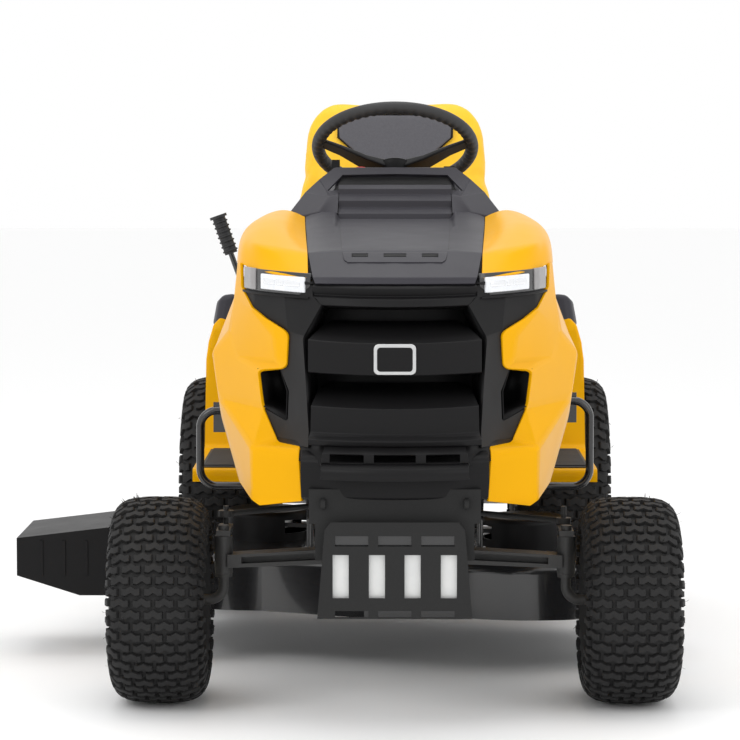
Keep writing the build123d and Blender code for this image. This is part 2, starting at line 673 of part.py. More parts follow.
# ---- fender ----
def fender_body():
    """Sheet shell: running boards, riser, seat deck and the skirts over the rear tyres."""
    t = FENDER_SHEET
    wide = FENDER_HALF_WIDTH
    top = [
        (BOARD_FRONT, 350), (BOARD_FRONT, BOARD_Z), (890, BOARD_Z), (936, 520), (962, FENDER_TOP - 14),
        (985, FENDER_TOP), (1420, FENDER_TOP), (1470, FENDER_TOP - 40), (FENDER_BACK, 520)]
    under = [
        (FENDER_BACK - t, 520), (1465, FENDER_TOP - 43), (1418, FENDER_TOP - t), (988, FENDER_TOP - t),
        (967, FENDER_TOP - 18), (941, 520), (894, BOARD_Z - t), (BOARD_FRONT + t, BOARD_Z - t),
        (BOARD_FRONT + t, 350)]
    body = side_prism(top + under, (-wide, wide))
    skirt = [(944, 520), (970, FENDER_TOP - 16), (986, FENDER_TOP - t), (1419, FENDER_TOP - t),
             (1467, FENDER_TOP - 42), (FENDER_BACK - t, 520)]
    plate = side_prism(skirt, (wide - t, wide))
    arch = REAR_TYRE_DIA / 2 + ARCH_CLEARANCE
    plate -= rod_x((wide - t - 1, wide + 1), WHEELBASE, REAR_HUB_Z, arch)
    body += plate + other_side(plate)
    body -= block((-DASH_HALF_WIDTH - 4, DASH_HALF_WIDTH + 4), (BOARD_FRONT - 1, 800), (300, 420))
    body -= block((-RAIL_OUT - 3, RAIL_OUT + 3), (BOARD_FRONT - 1, 960), (300, RAIL_TOP + 3))
    body -= block((-336, -288), (LIFT_PIVOT_Y - 92, LIFT_PIVOT_Y + 22), (FENDER_TOP - 20, FENDER_TOP + 10))
    body -= rod_z(CAP_X, CAP_Y, (FENDER_TOP - 20, FENDER_TOP + 10), 26)
    for x in (-132, 124):
        lug = block((x, x + 8), (SEAT_HINGE_Y - 12, SEAT_HINGE_Y + 12), (FENDER_TOP - 12, SEAT_HINGE_Z))
        lug += rod_x((x, x + 8), SEAT_HINGE_Y, SEAT_HINGE_Z, 12)
        body += lug - rod_x((x - 1, x + 9), SEAT_HINGE_Y, SEAT_HINGE_Z, 6 + RUN_FIT)
    body += block((-RAIL_OUT, 45), (1330, 1360), (RAIL_TOP, FENDER_TOP - 1))
    return body


# ---- seat ----
def seat_bracket():
    """Hinged plate under the seat with two slide rails."""
    y = SEAT_HINGE_Y
    plate = block((-120, 120), (y - 8, 1240), (SEAT_HINGE_Z - 3, SEAT_HINGE_Z + 3))
    plate += rod_x((-134, 134), y, SEAT_HINGE_Z, 6)
    for x in (-90, 90):
        plate += block((x - 12, x + 12), (y + 10, 1230), (SEAT_HINGE_Z + 2, SEAT_HINGE_Z + 12))
    for x in (-70, 70):
        plate += rod_z(x, 1215, (FENDER_TOP + GAP, SEAT_HINGE_Z), 14)
    return plate


def seat_pan():
    """Moulded pan: a base over the slide rails and an upright shell behind the back cushion."""
    low = SEAT_HINGE_Z + 12 + GAP
    side = [
        (SEAT_FRONT + 10, low + 10), (SEAT_FRONT + 30, low), (1280, low), (1330, low + 30), (1372, 1000),
        (1366, 1002), (1322, low + 36), (1276, low + 8), (SEAT_FRONT + 32, low + 8), (SEAT_FRONT + 10, low + 16)]
    pan = side_prism(side, (-SEAT_HALF_WIDTH + 12, SEAT_HALF_WIDTH - 12))
    for x in (-90, 90):
        for edge in (x - 12 - GAP - 4, x + 12 + GAP):
            pan += block((edge, edge + 4), (SEAT_FRONT + 120, 1220), (low - 5, low + 1))
    return pan


def seat_cushion():
    low = SEAT_HINGE_Z + 12 + GAP + 8
    side = [
        (SEAT_FRONT, low + 30), (SEAT_FRONT + 34, low + GAP), (1240, low + GAP), (1246, low + 58),
        (1180, low + 72), (SEAT_FRONT + 60, low + 92), (SEAT_FRONT + 16, low + 80)]
    return side_prism(side, (-SEAT_HALF_WIDTH, SEAT_HALF_WIDTH))


def seat_back():
    low = SEAT_HINGE_Z + 12 + GAP + 8
    side = [
        (1252, low + 76), (1276, low + 50), (1308, low + 50), (1362, 1006), (1380, 1010), (1400, SEAT_TOP - 20),
        (1384, SEAT_TOP), (1350, SEAT_TOP - 4), (1310, 1030), (1270, 900)]
    return side_prism(side, (-SEAT_HALF_WIDTH, SEAT_HALF_WIDTH))


# ---- lift ----
def lift_lever():
    """Cross shaft on the frame's ears with the bent hand lever."""
    y, z = LIFT_PIVOT_Y, LIFT_PIVOT_Z
    x = -240
    shaft = rod_x((x - 10, RAIL_OUT), y, z, LIFT_SHAFT_RADIUS)
    bend_x, bend_z = LEVER_BEND
    top_x, top_z = LEVER_TOP
    lever = bent_rod([(x, y, z), (x, y, 540), (bend_x, y, bend_z), (top_x, y, top_z - 4)], 6, 30)
    return shaft + lever + rod_x((x - 12, x + 12), y, z, 16)


def lever_frame():
    """The plane at the grip's top, looking back down the lever."""
    down = Vector(LEVER_BEND[0] - LEVER_TOP[0], 0, LEVER_BEND[1] - LEVER_TOP[1]).normalized()
    return Plane(origin=(LEVER_TOP[0], LIFT_PIVOT_Y, LEVER_TOP[1]), z_dir=down)


def lift_grip():
    grip = lever_frame() * Pos(0, 0, 42) * Cylinder(14, 88)
    grip += lever_frame() * Pos(0, 0, 1) * Cylinder(19, 6)
    return grip - lift_lever()


# ---- deck ----
def deck_outline(extra):
    """The two lobes' plan, grown by extra."""
    r = LOBE_RADIUS + extra
    left = Pos(BLADE_X, BLADE_LEFT_Y) * Circle(r)
    right = Pos(-BLADE_X, BLADE_RIGHT_Y) * Circle(r)
    middle = outline([
        (BLADE_X, BLADE_LEFT_Y - r + 30), (-60, BLADE_LEFT_Y - r + 30), (-BLADE_X, BLADE_RIGHT_Y - r),
        (-BLADE_X, BLADE_RIGHT_Y + r - 30), (60, BLADE_RIGHT_Y + r - 30), (BLADE_X, BLADE_LEFT_Y + r)])
    return left + right + middle


def deck_shell():
    """Stamped twin-lobe shell, open underneath and at the discharge side."""
    shell = extrude(Plane.XY.offset(DECK_BOTTOM) * deck_outline(0), amount=DECK_TOP - DECK_BOTTOM)
    shell = fillet(shell.edges().group_by(Axis.Z)[-1], 22)
    hollow = extrude(Plane.XY.offset(DECK_BOTTOM - 1) * deck_outline(-DECK_SHEET),
                     amount=DECK_TOP - DECK_SHEET - DECK_BOTTOM + 1)
    hollow = fillet(hollow.edges().group_by(Axis.Z)[-1], 18)
    shell -= hollow
    side_wall = block((-560, -500), (CHUTE_FRONT + 30, CHUTE_BACK - 30), (DECK_BOTTOM - 1, DECK_TOP - 30))
    shell -= side_wall
    for x, y in ((BLADE_X, BLADE_LEFT_Y), (-BLADE_X, BLADE_RIGHT_Y)):
        shell += rod_z(x, y, (DECK_TOP - 30, DECK_TOP + 18), 32)
        shell -= rod_z(x, y, (DECK_BOTTOM - 20, DECK_TOP + 30), MANDREL_DIA / 2 + RUN_FIT)
    shell += block((-CHUTE_ROOT + 9, -520), (CHUTE_FRONT + 40, CHUTE_BACK - 40), (DECK_TOP - 6, DECK_TOP - 2))
    for y in (CHUTE_FRONT + 40, CHUTE_BACK - 60):
        ear = block((-CHUTE_ROOT - 10, -530), (y, y + 6), (DECK_TOP - 14, CHUTE_PIVOT_Z + 12))
        shell += ear - rod_y(-CHUTE_ROOT, (y - 1, y + 7), CHUTE_PIVOT_Z, 5 + RUN_FIT)
    for x, y, front in GAUGE_WHEELS:
        shell += gauge_bracket(x, y, front)
    return shell


def gauge_bracket(x, y, front):
    """Arm and axle that hold a gauge wheel ahead of the deck."""
    side = 1 if x > 0 else -1
    inner = x - side * 24
    arm_x = sorted((inner, inner - side * 6))
    arm = block(arm_x, (y - 12, front + 20), (GAUGE_Z - 12, GAUGE_Z + 14))
    return arm + rod_x(sorted((inner, x + side * 26)), y, GAUGE_Z, 6)


def gauge_wheel(index):
    x, y, _ = GAUGE_WHEELS[index]
    half = GAUGE_WHEEL_WIDTH / 2
    wheel = rod_x((x - half, x + half), y, GAUGE_Z, GAUGE_WHEEL_RADIUS)
    wheel = fillet(wheel.edges(), 5)
    return wheel - rod_x((x - half - 1, x + half + 1), y, GAUGE_Z, 6 + RUN_FIT)


def deck_hangers():
    """Bent rods on the deck that reach up beside the rails."""
    rods = Part()
    for x in (-170, 170):
        rods += bent_rod([(x, 470, DECK_TOP + 8), (x, 470, 285), (x, 410, 345), (x, 400, 362)], 7, 14)
        rods += block((x - 12, x + 12), (456, 484), (DECK_TOP, DECK_TOP + 9))
        rods += block((x - 4, x + 4), (820, 850), (DECK_TOP, 345))
    return rods


def belt_loop(reach):
    """Plan of a loop of belt around both mandrel pulleys."""
    a = Vector(BLADE_X, BLADE_LEFT_Y, 0)
    b = Vector(-BLADE_X, BLADE_RIGHT_Y, 0)
    along = (b - a).normalized()
    across = Vector(-along.Y, along.X, 0) * reach
    corners = [a + across, b + across, b - across, a - across]
    bar = outline([(c.X, c.Y) for c in corners])
    return bar + Pos(a.X, a.Y) * Circle(reach) + Pos(b.X, b.Y) * Circle(reach)


def deck_belt():
    groove = PULLEY_RADIUS - BELT_DEPTH
    loop = belt_loop(PULLEY_RADIUS - 1) - belt_loop(groove + 0.4)
    return extrude(Plane.XY.offset(PULLEY_Z - 4) * loop, amount=8)


def belt_covers():
    """Cup-shaped covers over the mandrel pulleys, open towards each other for the belt."""
    covers = Part()
    for x, y in ((BLADE_X, BLADE_LEFT_Y), (-BLADE_X, BLADE_RIGHT_Y)):
        cup = rod_z(x, y, (DECK_TOP, PULLEY_Z + 26), 88)
        cup = fillet(cup.edges().group_by(Axis.Z)[-1], 10)
        cup -= rod_z(x, y, (DECK_TOP - 1, PULLEY_Z + 22), 84)
        covers += cup
    low = DECK_TOP + 16
    corridor = extrude(Plane.XY.offset(low) * belt_loop(PULLEY_RADIUS + 6), amount=PULLEY_Z + 10 - low)
    return covers - corridor


def mandrel(x, y):
    """Blade shaft with its pulley."""
    low = DECK_BOTTOM + 14
    shaft = rod_z(x, y, (low, PULLEY_Z + 16), MANDREL_DIA / 2)
    pulley = rod_z(x, y, (PULLEY_Z - 8, PULLEY_Z + 8), PULLEY_RADIUS)
    groove = rod_z(x, y, (PULLEY_Z - 5, PULLEY_Z + 5), PULLEY_RADIUS + 1)
    groove -= rod_z(x, y, (PULLEY_Z - 5, PULLEY_Z + 5), PULLEY_RADIUS - BELT_DEPTH)
    return shaft + (pulley - groove)


def blade(x, y, turn):
    """Flat bar with a raised sail at each trailing tip."""
    z = DECK_BOTTOM + 14
    half = BLADE_LENGTH / 2
    bar = block((-half, half), (-28, 28), (-5, 0))
    for side in (-1, 1):
        sail_x = sorted((side * (half - 110), side * half))
        sail_y = sorted((side * 18, side * 28))
        bar += block(sail_x, sail_y, (-1, 14))
    return Pos(x, y, z) * Rot(0, 0, turn) * bar


def chute():
    """Sloping hood over the side discharge, with end walls and hinge pins."""
    root, tip = -CHUTE_ROOT - 14, -CHUTE_REACH
    wall = 4
    side = [(root, 262), (tip, 240), (tip, 164), (root - 60, 124), (root, 124)]
    outer = front_prism(side, (CHUTE_FRONT, CHUTE_BACK))
    inner = front_prism([(root + 1, 262 - wall), (tip + wall, 240 - wall), (tip + wall, 100), (root + 1, 100)],
                        (CHUTE_FRONT + wall, CHUTE_BACK - wall))
    shape = outer - inner
    for y in (CHUTE_FRONT + 26, CHUTE_BACK - 40):
        shape += block((root - 6, -CHUTE_ROOT + 7), (y, y + 8), (CHUTE_PIVOT_Z - 8, 260))
        pin_end = y + 28 if y < BLADE_LEFT_Y else y - 20
        shape += rod_y(-CHUTE_ROOT, sorted((y, pin_end)), CHUTE_PIVOT_Z, 5)
    for rib_y in ((CHUTE_FRONT - 3, CHUTE_FRONT), (CHUTE_BACK, CHUTE_BACK + 3)):
        for x in (-620, -665, -710):
            shape += block((x - 3, x + 3), rib_y, (165, 235))
    return shape


# ---- pedals ----
def pedal(side, pivot_y, reach_x, pad_x, pad_z):
    """Bent rod from the rail's bracket, out past the board and up to a foot pad."""
    z = PEDAL_PIVOT_Z
    start = side * (RAIL_OUT - RAIL_FLANGE - 6)
    rod = bent_rod(
        [(start, pivot_y, z), (side * reach_x, pivot_y, z), (side * reach_x, pivot_y + 4, pad_z),
         (side * pad_x, pivot_y + 4, pad_z)], PEDAL_ROD_DIA / 2, 34)
    pad_ends = sorted((side * pad_x, side * (pad_x + 62)))
    pad = block(pad_ends, (pivot_y + 8, pivot_y + 20), (pad_z - 44, pad_z + 16))
    return rod + pad


def brake_pedal():
    return pedal(1, PEDAL_PIVOT_Y, 388, 300, 520)


def forward_pedal():
    return pedal(-1, PEDAL_PIVOT_Y, 388, 300, 500)


def reverse_pedal():
    return pedal(-1, REVERSE_PIVOT_Y, 282, 206, 462)


# ---- all pieces ----
def all_parts():
    cover, shoulders, sides, grille = hood_pieces()
    parts = {
        "frame_rails": frame_rails(), "bumper_plate": bumper_plate(), "hitch_plate": hitch_plate(),
        "engine_block": engine_block(), "engine_shroud": engine_shroud(), "muffler": muffler(),
        "engine_pulley": engine_pulley(), "battery": battery(), "fuel_tank": fuel_tank(),
        "fuel_cap": fuel_cap(), "transaxle": transaxle(), "front_axle": front_axle(),
        "sector_gear": sector_gear(), "steering_shaft": steering_shaft(), "steering_wheel": steering_wheel(),
        "hood_top_cover": cover, "hood_shoulders": shoulders, "hood_side_panels": sides,
        "hood_grille": grille, "headlight_lenses": headlight_lenses(), "dash_tower": dash_tower(),
        "ignition_key": ignition_key(), "pto_knob": pto_knob(), "throttle_lever": throttle_lever(),
        "fender_body": fender_body(), "seat_bracket": seat_bracket(), "seat_pan": seat_pan(),
        "seat_cushion": seat_cushion(), "seat_back": seat_back(), "lift_lever": lift_lever(),
        "lift_grip": lift_grip(), "deck_shell": deck_shell(), "deck_hangers": deck_hangers(),
        "deck_belt": deck_belt(), "belt_covers": belt_covers(), "discharge_chute": chute(),
        "brake_pedal": brake_pedal(), "forward_pedal": forward_pedal(), "reverse_pedal": reverse_pedal(),
        "mandrel_left": mandrel(BLADE_X, BLADE_LEFT_Y), "mandrel_right": mandrel(-BLADE_X, BLADE_RIGHT_Y),
        "blade_left": blade(BLADE_X, BLADE_LEFT_Y, 20), "blade_right": blade(-BLADE_X, BLADE_RIGHT_Y, 20)}
    for index, name in enumerate(("left", "right")):
        side = 1 if name == "left" else -1
        parts["spindle_" + name] = spindle(side)
        parts["drag_link_" + name] = drag_link(side)
        parts["front_rim_" + name] = front_rim(side)
        parts["front_tyre_" + name] = front_tyre(side)
        parts["rear_rim_" + name] = rear_rim(side)
        parts["rear_tyre_" + name] = rear_tyre(side)
        parts["rear_axle_" + name] = rear_axle(side)
        parts["gauge_wheel_" + name] = gauge_wheel(index)
    return parts


def machine_origin(parts):
    """The middle of the whole machine's box, at its foot."""
    boxes = [part.bounding_box() for part in parts.values()]
    low = [min(tuple(box.min)[i] for box in boxes) for i in range(3)]
    high = [max(tuple(box.max)[i] for box in boxes) for i in range(3)]
    return Vector((low[0] + high[0]) / 2, (low[1] + high[1]) / 2, low[2])


def write_parts():
    parts = all_parts()
    origin = machine_origin(parts)
    os.makedirs("parts", exist_ok=True)
    for name, part in parts.items():
        export_step(Pos(*(-origin)) * part, f"parts/{name}.step")
    print("origin, from the front axle:", origin)


if __name__ == "__main__":
    write_parts()
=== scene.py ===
import math
import random

import bmesh
import bpy
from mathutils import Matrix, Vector


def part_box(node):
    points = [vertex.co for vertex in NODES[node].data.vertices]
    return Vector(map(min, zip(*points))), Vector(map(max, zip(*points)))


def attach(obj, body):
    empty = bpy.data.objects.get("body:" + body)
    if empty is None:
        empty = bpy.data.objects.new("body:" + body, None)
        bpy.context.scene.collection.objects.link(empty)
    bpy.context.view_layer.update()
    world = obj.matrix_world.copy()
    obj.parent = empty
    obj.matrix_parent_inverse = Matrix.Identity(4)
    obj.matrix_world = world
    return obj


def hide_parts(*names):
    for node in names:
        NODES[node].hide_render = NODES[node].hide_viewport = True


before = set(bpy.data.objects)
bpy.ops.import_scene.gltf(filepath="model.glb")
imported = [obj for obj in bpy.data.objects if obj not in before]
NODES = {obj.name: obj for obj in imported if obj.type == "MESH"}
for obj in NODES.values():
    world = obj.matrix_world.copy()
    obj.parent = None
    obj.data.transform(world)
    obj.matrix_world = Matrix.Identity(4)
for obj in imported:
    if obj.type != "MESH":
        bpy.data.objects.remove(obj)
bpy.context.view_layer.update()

# Riding lawn mower. Shapes are written in millimetres from the middle of the front axle on the
# ground: X to the driver's left, Y back from the axle and Z up. at() turns them into the frame's metres.

AXLE_LOW, AXLE_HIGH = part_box("front_axle")
AXLE_POINT = Vector(((AXLE_LOW.x + AXLE_HIGH.x) / 2, (AXLE_LOW.y + AXLE_HIGH.y) / 2, 0))
MM = 0.001


def at(x, y, z):
    return AXLE_POINT + Vector((x, y, z)) * MM


# ---- camera, light and floor ----
CAMERA_DISTANCE = 5460
CAMERA_HEIGHT = 1032
LENS = 145.0
PITCH_DOWN = 4.36
YAW = 0.48


def set_camera():
    data = bpy.data.cameras.new("camera")
    data.lens = LENS
    data.sensor_width = 36.0
    camera = bpy.data.objects.new("camera", data)
    bpy.context.scene.collection.objects.link(camera)
    camera.location = at(0, -CAMERA_DISTANCE, CAMERA_HEIGHT)
    camera.rotation_euler = (math.radians(90 - PITCH_DOWN), 0, math.radians(YAW))
    bpy.context.scene.camera = camera


def area_light(name, place, target, size, power):
    data = bpy.data.lights.new(name, "AREA")
    data.size = size
    data.energy = power
    lamp = bpy.data.objects.new(name, data)
    lamp.location = place
    lamp.rotation_euler = (Vector(target) - Vector(place)).to_track_quat("-Z", "Y").to_euler()
    bpy.context.scene.collection.objects.link(lamp)


def set_studio():
    world = bpy.data.worlds.new("studio")
    world.use_nodes = True
    world.node_tree.nodes["Background"].inputs["Color"].default_value = (1, 1, 1, 1)
    world.node_tree.nodes["Background"].inputs["Strength"].default_value = 1.0
    bpy.context.scene.world = world
    bpy.context.scene.view_settings.view_transform = "Standard"
    area_light("key", (-2.6, -3.4, 3.6), (0, -0.3, 0.5), 2.2, 42)
    area_light("fill", (3.2, -3.0, 2.6), (0, -0.3, 0.5), 2.4, 24)
    area_light("top", (0, 0.4, 4.0), (0, 0, 0.4), 3.0, 34)
    floor = bpy.data.meshes.new("floor")
    reach = 30.0
    corners = [(-reach, -reach, 0), (reach, -reach, 0), (reach, reach, 0), (-reach, reach, 0)]
    floor.from_pydata(corners, [], [(0, 1, 2, 3)])
    obj = bpy.data.objects.new("floor", floor)
    bpy.context.scene.collection.objects.link(obj)
    obj.location.z = -0.0005
    paper = bpy.data.materials.new("paper")
    paper.use_nodes = True
    shader = paper.node_tree.nodes["Principled BSDF"]
    shader.inputs["Base Color"].default_value = (0.97, 0.97, 0.97, 1)
    shader.inputs["Roughness"].default_value = 0.8
    obj.data.materials.append(paper)


set_camera()
set_studio()


# ---- materials ----
def node_material(name, colour, shade, rough, grain=60.0, bump=0.1, bump_scale=700.0, depth=0.0002,
                  metallic=0.0, coat=0.0, dust=0.0, shine=0.5):
    """Mottled colour, uneven roughness, a fine surface texture and, if asked for, dust in patches."""
    made = bpy.data.materials.new(name)
    made.use_nodes = True
    nodes, links = made.node_tree.nodes, made.node_tree.links
    shader = nodes["Principled BSDF"]
    shader.inputs["Metallic"].default_value = metallic
    shader.inputs["Specular IOR Level"].default_value = shine
    shader.inputs["Coat Weight"].default_value = coat
    shader.inputs["Coat Roughness"].default_value = 0.06
    place = nodes.new("ShaderNodeTexCoord")
    mottle = nodes.new("ShaderNodeTexNoise")
    mottle.inputs["Scale"].default_value = grain
    mottle.inputs["Detail"].default_value = 6.0
    links.new(place.outputs["Object"], mottle.inputs["Vector"])
    tint = nodes.new("ShaderNodeMix")
    tint.data_type = "RGBA"
    tint.inputs[6].default_value = (*colour, 1)
    tint.inputs[7].default_value = (*shade, 1)
    links.new(mottle.outputs["Fac"], tint.inputs[0])
    last = tint.outputs[2]
    if dust:
        patches = nodes.new("ShaderNodeTexNoise")
        patches.inputs["Scale"].default_value = 7.0
        patches.inputs["Detail"].default_value = 9.0
        spread = nodes.new("ShaderNodeMapRange")
        spread.inputs[1].default_value = 0.5
        spread.inputs[2].default_value = 0.8
        spread.inputs[4].default_value = dust
        links.new(place.outputs["Object"], patches.inputs["Vector"])
        links.new(patches.outputs["Fac"], spread.inputs[0])
        powder = nodes.new("ShaderNodeMix")
        powder.data_type = "RGBA"
        powder.inputs[7].default_value = (0.30, 0.28, 0.25, 1)
        links.new(spread.outputs[0], powder.inputs[0])
        links.new(last, powder.inputs[6])
        last = powder.outputs[2]
    links.new(last, shader.inputs["Base Color"])
    smear = nodes.new("ShaderNodeTexNoise")
    smear.inputs["Scale"].default_value = 14.0
    smear.inputs["Detail"].default_value = 5.0
    links.new(place.outputs["Object"], smear.inputs["Vector"])
    span = nodes.new("ShaderNodeMapRange")
    span.inputs[3].default_value = rough[0]
    span.inputs[4].default_value = rough[1]
    links.new(smear.outputs["Fac"], span.inputs[0])
    links.new(span.outputs[0], shader.inputs["Roughness"])
    texture = nodes.new("ShaderNodeTexNoise")
    texture.inputs["Scale"].default_value = bump_scale
    texture.inputs["Detail"].default_value = 3.0
    links.new(place.outputs["Object"], texture.inputs["Vector"])
    relief = nodes.new("ShaderNodeBump")
    relief.inputs["Strength"].default_value = bump
    relief.inputs["Distance"].default_value = depth
    links.new(texture.outputs["Fac"], relief.inputs["Height"])
    links.new(relief.outputs["Normal"], shader.inputs["Normal"])
    return made


YELLOW = node_material("yellow_paint", (0.80, 0.385, 0.0), (0.85, 0.415, 0.0), (0.26, 0.36), grain=9.0,
                       bump=0.06, bump_scale=260.0, coat=0.02, shine=0.07)
COVER_GREY = node_material("cover_plastic", (0.027, 0.026, 0.033), (0.035, 0.033, 0.041), (0.40, 0.52),
                           grain=300.0, bump=0.35, bump_scale=1500.0, shine=0.3)
BLACK_PLASTIC = node_material("grille_plastic", (0.006, 0.006, 0.0065), (0.010, 0.0095, 0.010), (0.36, 0.50),
                              grain=300.0, bump=0.35, bump_scale=1400.0, shine=0.16)
CHARCOAL = node_material("bumper_powder_coat", (0.018, 0.018, 0.018), (0.027, 0.027, 0.027), (0.45, 0.60),
                         grain=500.0, bump=0.5, bump_scale=1600.0, shine=0.14)
GLOSS_BLACK = node_material("black_enamel", (0.012, 0.012, 0.013), (0.018, 0.018, 0.019), (0.14, 0.30),
                            grain=30.0, bump=0.05, bump_scale=220.0, coat=0.6)
CAST = node_material("painted_casting", (0.022, 0.022, 0.022), (0.035, 0.034, 0.033), (0.38, 0.62),
                     grain=180.0, bump=0.8, bump_scale=420.0, depth=0.0006)
ZINC = node_material("zinc_plate", (0.55, 0.56, 0.57), (0.68, 0.68, 0.67), (0.28, 0.46), grain=90.0,
                     bump=0.15, bump_scale=900.0, metallic=1.0)
BRIGHT_ZINC = node_material("galvanised_plate", (0.70, 0.71, 0.71), (0.82, 0.82, 0.80), (0.35, 0.5),
                            grain=60.0,
                            bump=0.2, bump_scale=500.0, metallic=0.35)
ALLOY = node_material("cast_alloy", (0.42, 0.42, 0.43), (0.52, 0.52, 0.52), (0.45, 0.62), grain=120.0,
                      bump=0.7, bump_scale=600.0, metallic=1.0)
RUBBER = node_material("tyre_rubber", (0.014, 0.014, 0.0145), (0.024, 0.0235, 0.0235), (0.55, 0.75),
                       grain=160.0, bump=0.5, bump_scale=900.0, dust=0.04, shine=0.2)
GRIP = node_material("grip_rubber", (0.016, 0.016, 0.017), (0.026, 0.026, 0.027), (0.48, 0.66),
                     grain=400.0, bump=0.5, bump_scale=1500.0)
RIM_PAINT = node_material("rim_enamel", (0.75, 0.72, 0.63), (0.80, 0.77, 0.69), (0.22, 0.36), grain=16.0,
                          bump=0.08, bump_scale=300.0, coat=0.5)
SEAT_GREY = node_material("seat_vinyl", (0.082, 0.080, 0.090), (0.110, 0.108, 0.120), (0.45, 0.62),
                          grain=220.0, bump=0.7, bump_scale=520.0, depth=0.0005, shine=0.3)
SEAT_YELLOW = node_material("yellow_vinyl", (0.90, 0.50, 0.003), (0.96, 0.57, 0.006), (0.38, 0.52),
                            grain=60.0, bump=0.6, bump_scale=520.0, depth=0.0005)
LAMP_GREY = node_material("lamp_grey_lens", (0.20, 0.19, 0.19), (0.28, 0.27, 0.27), (0.10, 0.2), grain=80.0,
                          bump=0.2, bump_scale=300.0, coat=0.8)
LAMP_CHROME = node_material("lamp_reflector", (0.80, 0.82, 0.84), (0.9, 0.9, 0.92), (0.15, 0.3), grain=200.0,
                            bump=0.3, bump_scale=500.0, metallic=0.6)
LAMP_GLOW = node_material("lamp_lit_lens", (0.62, 0.64, 0.67), (0.80, 0.81, 0.83), (0.05, 0.12), grain=120.0,
                          bump=0.3, bump_scale=240.0, coat=0.8)
LAMP_GLOW.node_tree.nodes["Principled BSDF"].inputs["Emission Color"].default_value = (0.95, 0.97, 1.0, 1)
LAMP_GLOW.node_tree.nodes["Principled BSDF"].inputs["Emission Strength"].default_value = 0.12
RED = node_material("red_plastic", (0.42, 0.012, 0.01), (0.52, 0.02, 0.015), (0.25, 0.40), bump=0.1)


def paint_cad(looks):
    """Gives each listed CAD node its material."""
    for made, names in looks:
        for name in names:
            mesh = NODES[name].data
            mesh.materials.clear()
            mesh.materials.append(made)


SIDES = ("left", "right")
paint_cad([
    (GLOSS_BLACK, ["deck_shell", "deck_hangers", "brake_pedal", "forward_pedal", "reverse_pedal",
                   "lift_lever",
                   "seat_bracket"]),
    (CHARCOAL, ["frame_rails", "bumper_plate", "hitch_plate"]),
    (CAST, ["front_axle", "muffler"] + ["spindle_" + s for s in SIDES] + ["drag_link_" + s for s in SIDES]),
    (ALLOY, ["engine_block", "transaxle"]),
    (BLACK_PLASTIC, ["engine_shroud", "battery", "fuel_tank", "fuel_cap", "belt_covers", "discharge_chute",
                     "seat_pan",
                     "hood_grille", "throttle_lever", "ignition_key"] + ["gauge_wheel_" + s for s in SIDES]),
    (COVER_GREY, ["dash_tower", "hood_top_cover", "steering_wheel"]),
    (YELLOW, ["fender_body", "hood_shoulders", "hood_side_panels"]),
    (ZINC, ["sector_gear", "steering_shaft", "engine_pulley",
            "headlight_lenses"] + ["mandrel_" + s for s in SIDES]
     + ["blade_" + s for s in SIDES] + ["rear_axle_" + s for s in SIDES]),
    (RIM_PAINT, ["front_rim_" + s for s in SIDES] + ["rear_rim_" + s for s in SIDES]),
    (GRIP, ["lift_grip", "deck_belt"]),
    (RED, ["pto_knob"]),
    (SEAT_GREY, ["seat_cushion", "seat_back"]),
    (RUBBER, ["front_tyre_" + s for s in SIDES] + ["rear_tyre_" + s for s in SIDES]),
])


# ---- mesh helpers ----
def piece(name, shape, material, body, replaced=(), creases=(), core=None):
    """A mesh piece from (millimetre points, faces), riding on a body. Its faces look away from core, if given."""
    points, faces = shape
    mesh = bpy.data.meshes.new(name)
    mesh.from_pydata([at(*p) for p in points], [], faces)
    mesh.materials.append(material)
    mesh.validate()
    tidy = bmesh.new()
    tidy.from_mesh(mesh)
    bmesh.ops.recalc_face_normals(tidy, faces=tidy.faces)
    if core:
        middle = at(*core)
        facing = sum((face.calc_center_median() - middle).dot(face.normal) * face.calc_area() for face in tidy.faces)
        if facing < 0:
            bmesh.ops.reverse_faces(tidy, faces=tidy.faces)
    for face in tidy.faces:
        face.smooth = True
    tidy.to_mesh(mesh)
    tidy.free()
    mark_creases(mesh, creases)
    obj = bpy.data.objects.new(name, mesh)
    bpy.context.scene.collection.objects.link(obj)
    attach(obj, body)
    if replaced:
        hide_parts(*replaced)
    return obj


def mark_creases(mesh, creases):
    """Each crease is (set of point numbers, sharpness): an edge between two of its points is creased."""
    if not creases:
        return
    layer = mesh.attributes.new("crease_edge", "FLOAT", "EDGE")
    for edge in mesh.edges:
        for members, sharpness in creases:
            if set(edge.vertices) <= members:
                layer.data[edge.index].value = sharpness


def thicken(obj, wall):
    solid = obj.modifiers.new("wall", "SOLIDIFY")
    solid.thickness = wall * MM
    solid.offset = -1.0


CORNER_ANGLE = 40     # degrees: an edge sharper than this is bevelled


def soften(obj, width, segments=3, angle=25.0):
    bevel = obj.modifiers.new("soft edges", "BEVEL")
    bevel.width = width * MM
    bevel.segments = segments
    bevel.limit_method = "ANGLE"
    bevel.angle_limit = math.radians(angle)


def even_shading(obj):
    weighted = obj.modifiers.new("even shading", "WEIGHTED_NORMAL")
    weighted.keep_sharp = True


def smooth(obj, levels):
    rounding = obj.modifiers.new("rounding", "SUBSURF")
    rounding.levels = levels
    rounding.render_levels = levels
    rounding.boundary_smooth = "PRESERVE_CORNERS"


def panel(name, shape, material, body, replaced=(), rounding=10.0, wall=6.0, angle=8.0,
          core=(0, 150, 600)):
    """A moulded or pressed cover: facets that meet in rounded folds, a wall, and soft rims."""
    obj = piece(name, shape, material, body, replaced, core=core)
    soften(obj, rounding, 4, angle)
    thicken(obj, wall)
    soften(obj, 1.2, 2, 40.0)
    even_shading(obj)
    return obj


